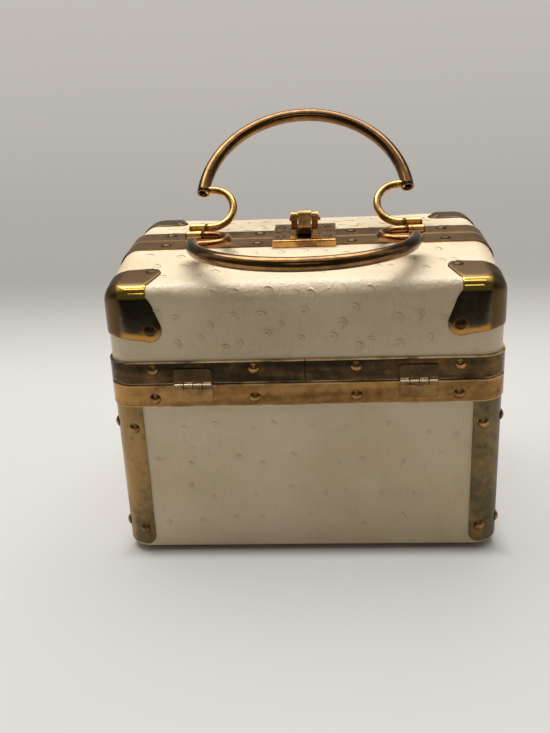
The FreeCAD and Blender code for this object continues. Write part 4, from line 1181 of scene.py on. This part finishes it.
# Handles: an open arched tube on two C-bent rods, drawn upright and leaned over
handleSize = {"line": 9.5, "pivot": 186.7, "arch": 67.0, "height": 88.0, "foot": 26.5, "tube": 4.15,
              "bore": 3.25, "rod": 2.5, "bend": 14.5, "straight": 61.0, "reach": 65.0, "neckEnd": 64.2,
              "pinEnd": 73.8, "journal": 1.7, "head": 2.3, "headLength": 0.8,
              "tubeSides": 28, "rodSides": 20, "archSteps": 72, "bendSteps": 24}
handleLooks = {"front": {"lean": 86.5, "tube": "frontTubeBrass", "rod": "frontRodBrass"},
               "back": {"lean": -47.0, "tube": "backTubeBrass", "rod": "rodBrass"}}


def sweepFaces(rows, sides, closed):  # rings joined into a loop, or capped at both ends
    faces = roundFaces(rows, sides)
    last = (rows - 1) * sides
    if not closed:
        return faces + [tuple(reversed(range(sides))), tuple(range(last, last + sides))]
    for side in range(sides):
        beside = (side + 1) % sides
        faces.append((last + side, last + beside, beside, side))
    return faces


def ringAt(place, along, radius, sides):  # a circle square to a path in the plane of the handle
    across = Vector((-along.z, 0, along.x))
    ring = []
    for side in range(sides):
        turn = 2 * math.pi * side / sides
        ring.append(place + radius * (math.cos(turn) * across + math.sin(turn) * Vector((0, 1, 0))))
    return ring


def archRings():
    arch = handleSize["arch"]
    sides = handleSize["tubeSides"]
    steps = handleSize["archSteps"]
    centre = handleSize["height"] - arch
    skew = math.asin((handleSize["foot"] - centre) / arch)
    outside = []
    inside = []
    for step in range(steps + 1):
        turn = skew + (math.pi - 2 * skew) * step / steps
        place = Vector((arch * math.cos(turn), 0, centre + arch * math.sin(turn)))
        along = Vector((-math.sin(turn), 0, math.cos(turn)))
        outside.append(ringAt(place, along, handleSize["tube"], sides))
        inside.append(ringAt(place, along, handleSize["bore"], sides))
    return outside + inside[::-1]


def rodRings(side):
    bend = handleSize["bend"]
    rod = handleSize["rod"]
    neckEnd = Vector((handleSize["neckEnd"], 0, 0))
    pinEnd = Vector((handleSize["pinEnd"], 0, 0))
    ahead = Vector((1, 0, 0))
    path = [(pinEnd + handleSize["headLength"] * ahead, -ahead, handleSize["head"]),
            (pinEnd, -ahead, handleSize["head"]), (pinEnd, -ahead, handleSize["journal"]),
            (neckEnd, -ahead, handleSize["journal"]), (neckEnd, -ahead, rod)]
    for step in range(handleSize["bendSteps"] + 1):
        turn = math.pi * step / handleSize["bendSteps"]
        place = Vector((handleSize["straight"] - bend * math.sin(turn), 0, bend - bend * math.cos(turn)))
        path.append((place, Vector((-math.cos(turn), 0, math.sin(turn))), rod))
    path.append((Vector((handleSize["reach"], 0, 2 * bend)), ahead, rod))
    rings = []
    for place, along, radius in path:
        ring = ringAt(place, along, radius, handleSize["rodSides"])
        rings.append([Vector((point.x * side, point.y, point.z)) for point in ring])
    return rings


def leanPiece(name, rings, closed, stand):
    points = [stand @ (point * mm) for ring in rings for point in ring]
    return meshFrom(name, points, sweepFaces(len(rings), len(rings[0]), closed))


for half, side in halves.items():
    look = handleLooks[half]
    pivot = Vector((0, handleSize["line"] * side * mm, handleSize["pivot"] * mm))
    stand = Matrix.Translation(pivot) @ Matrix.Rotation(math.radians(look["lean"]), 4, "X")
    body = half + "_handle"
    name = half + "HandleTube"
    tube = leanPiece(name, archRings(), True, stand)
    addPiece(name, tube, body, look["tube"], body + "_tube")
    for hand, flip in hands.items():
        name = half + "HandleRod" + hand.title()
        rod = leanPiece(name, rodRings(flip), False, stand)
        addPiece(name, rod, body, look["rod"], body + "_rod_" + hand)
print("handles drawn")

# Clasp spring: a leaf that the lever presses flat
springMesh = nodes["clasp_spring"].data.copy()
leaf = addPiece("claspSpringLeaf", springMesh, "back_lid", "pinSteel", "clasp_spring")
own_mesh(leaf)
print("clasp spring set")
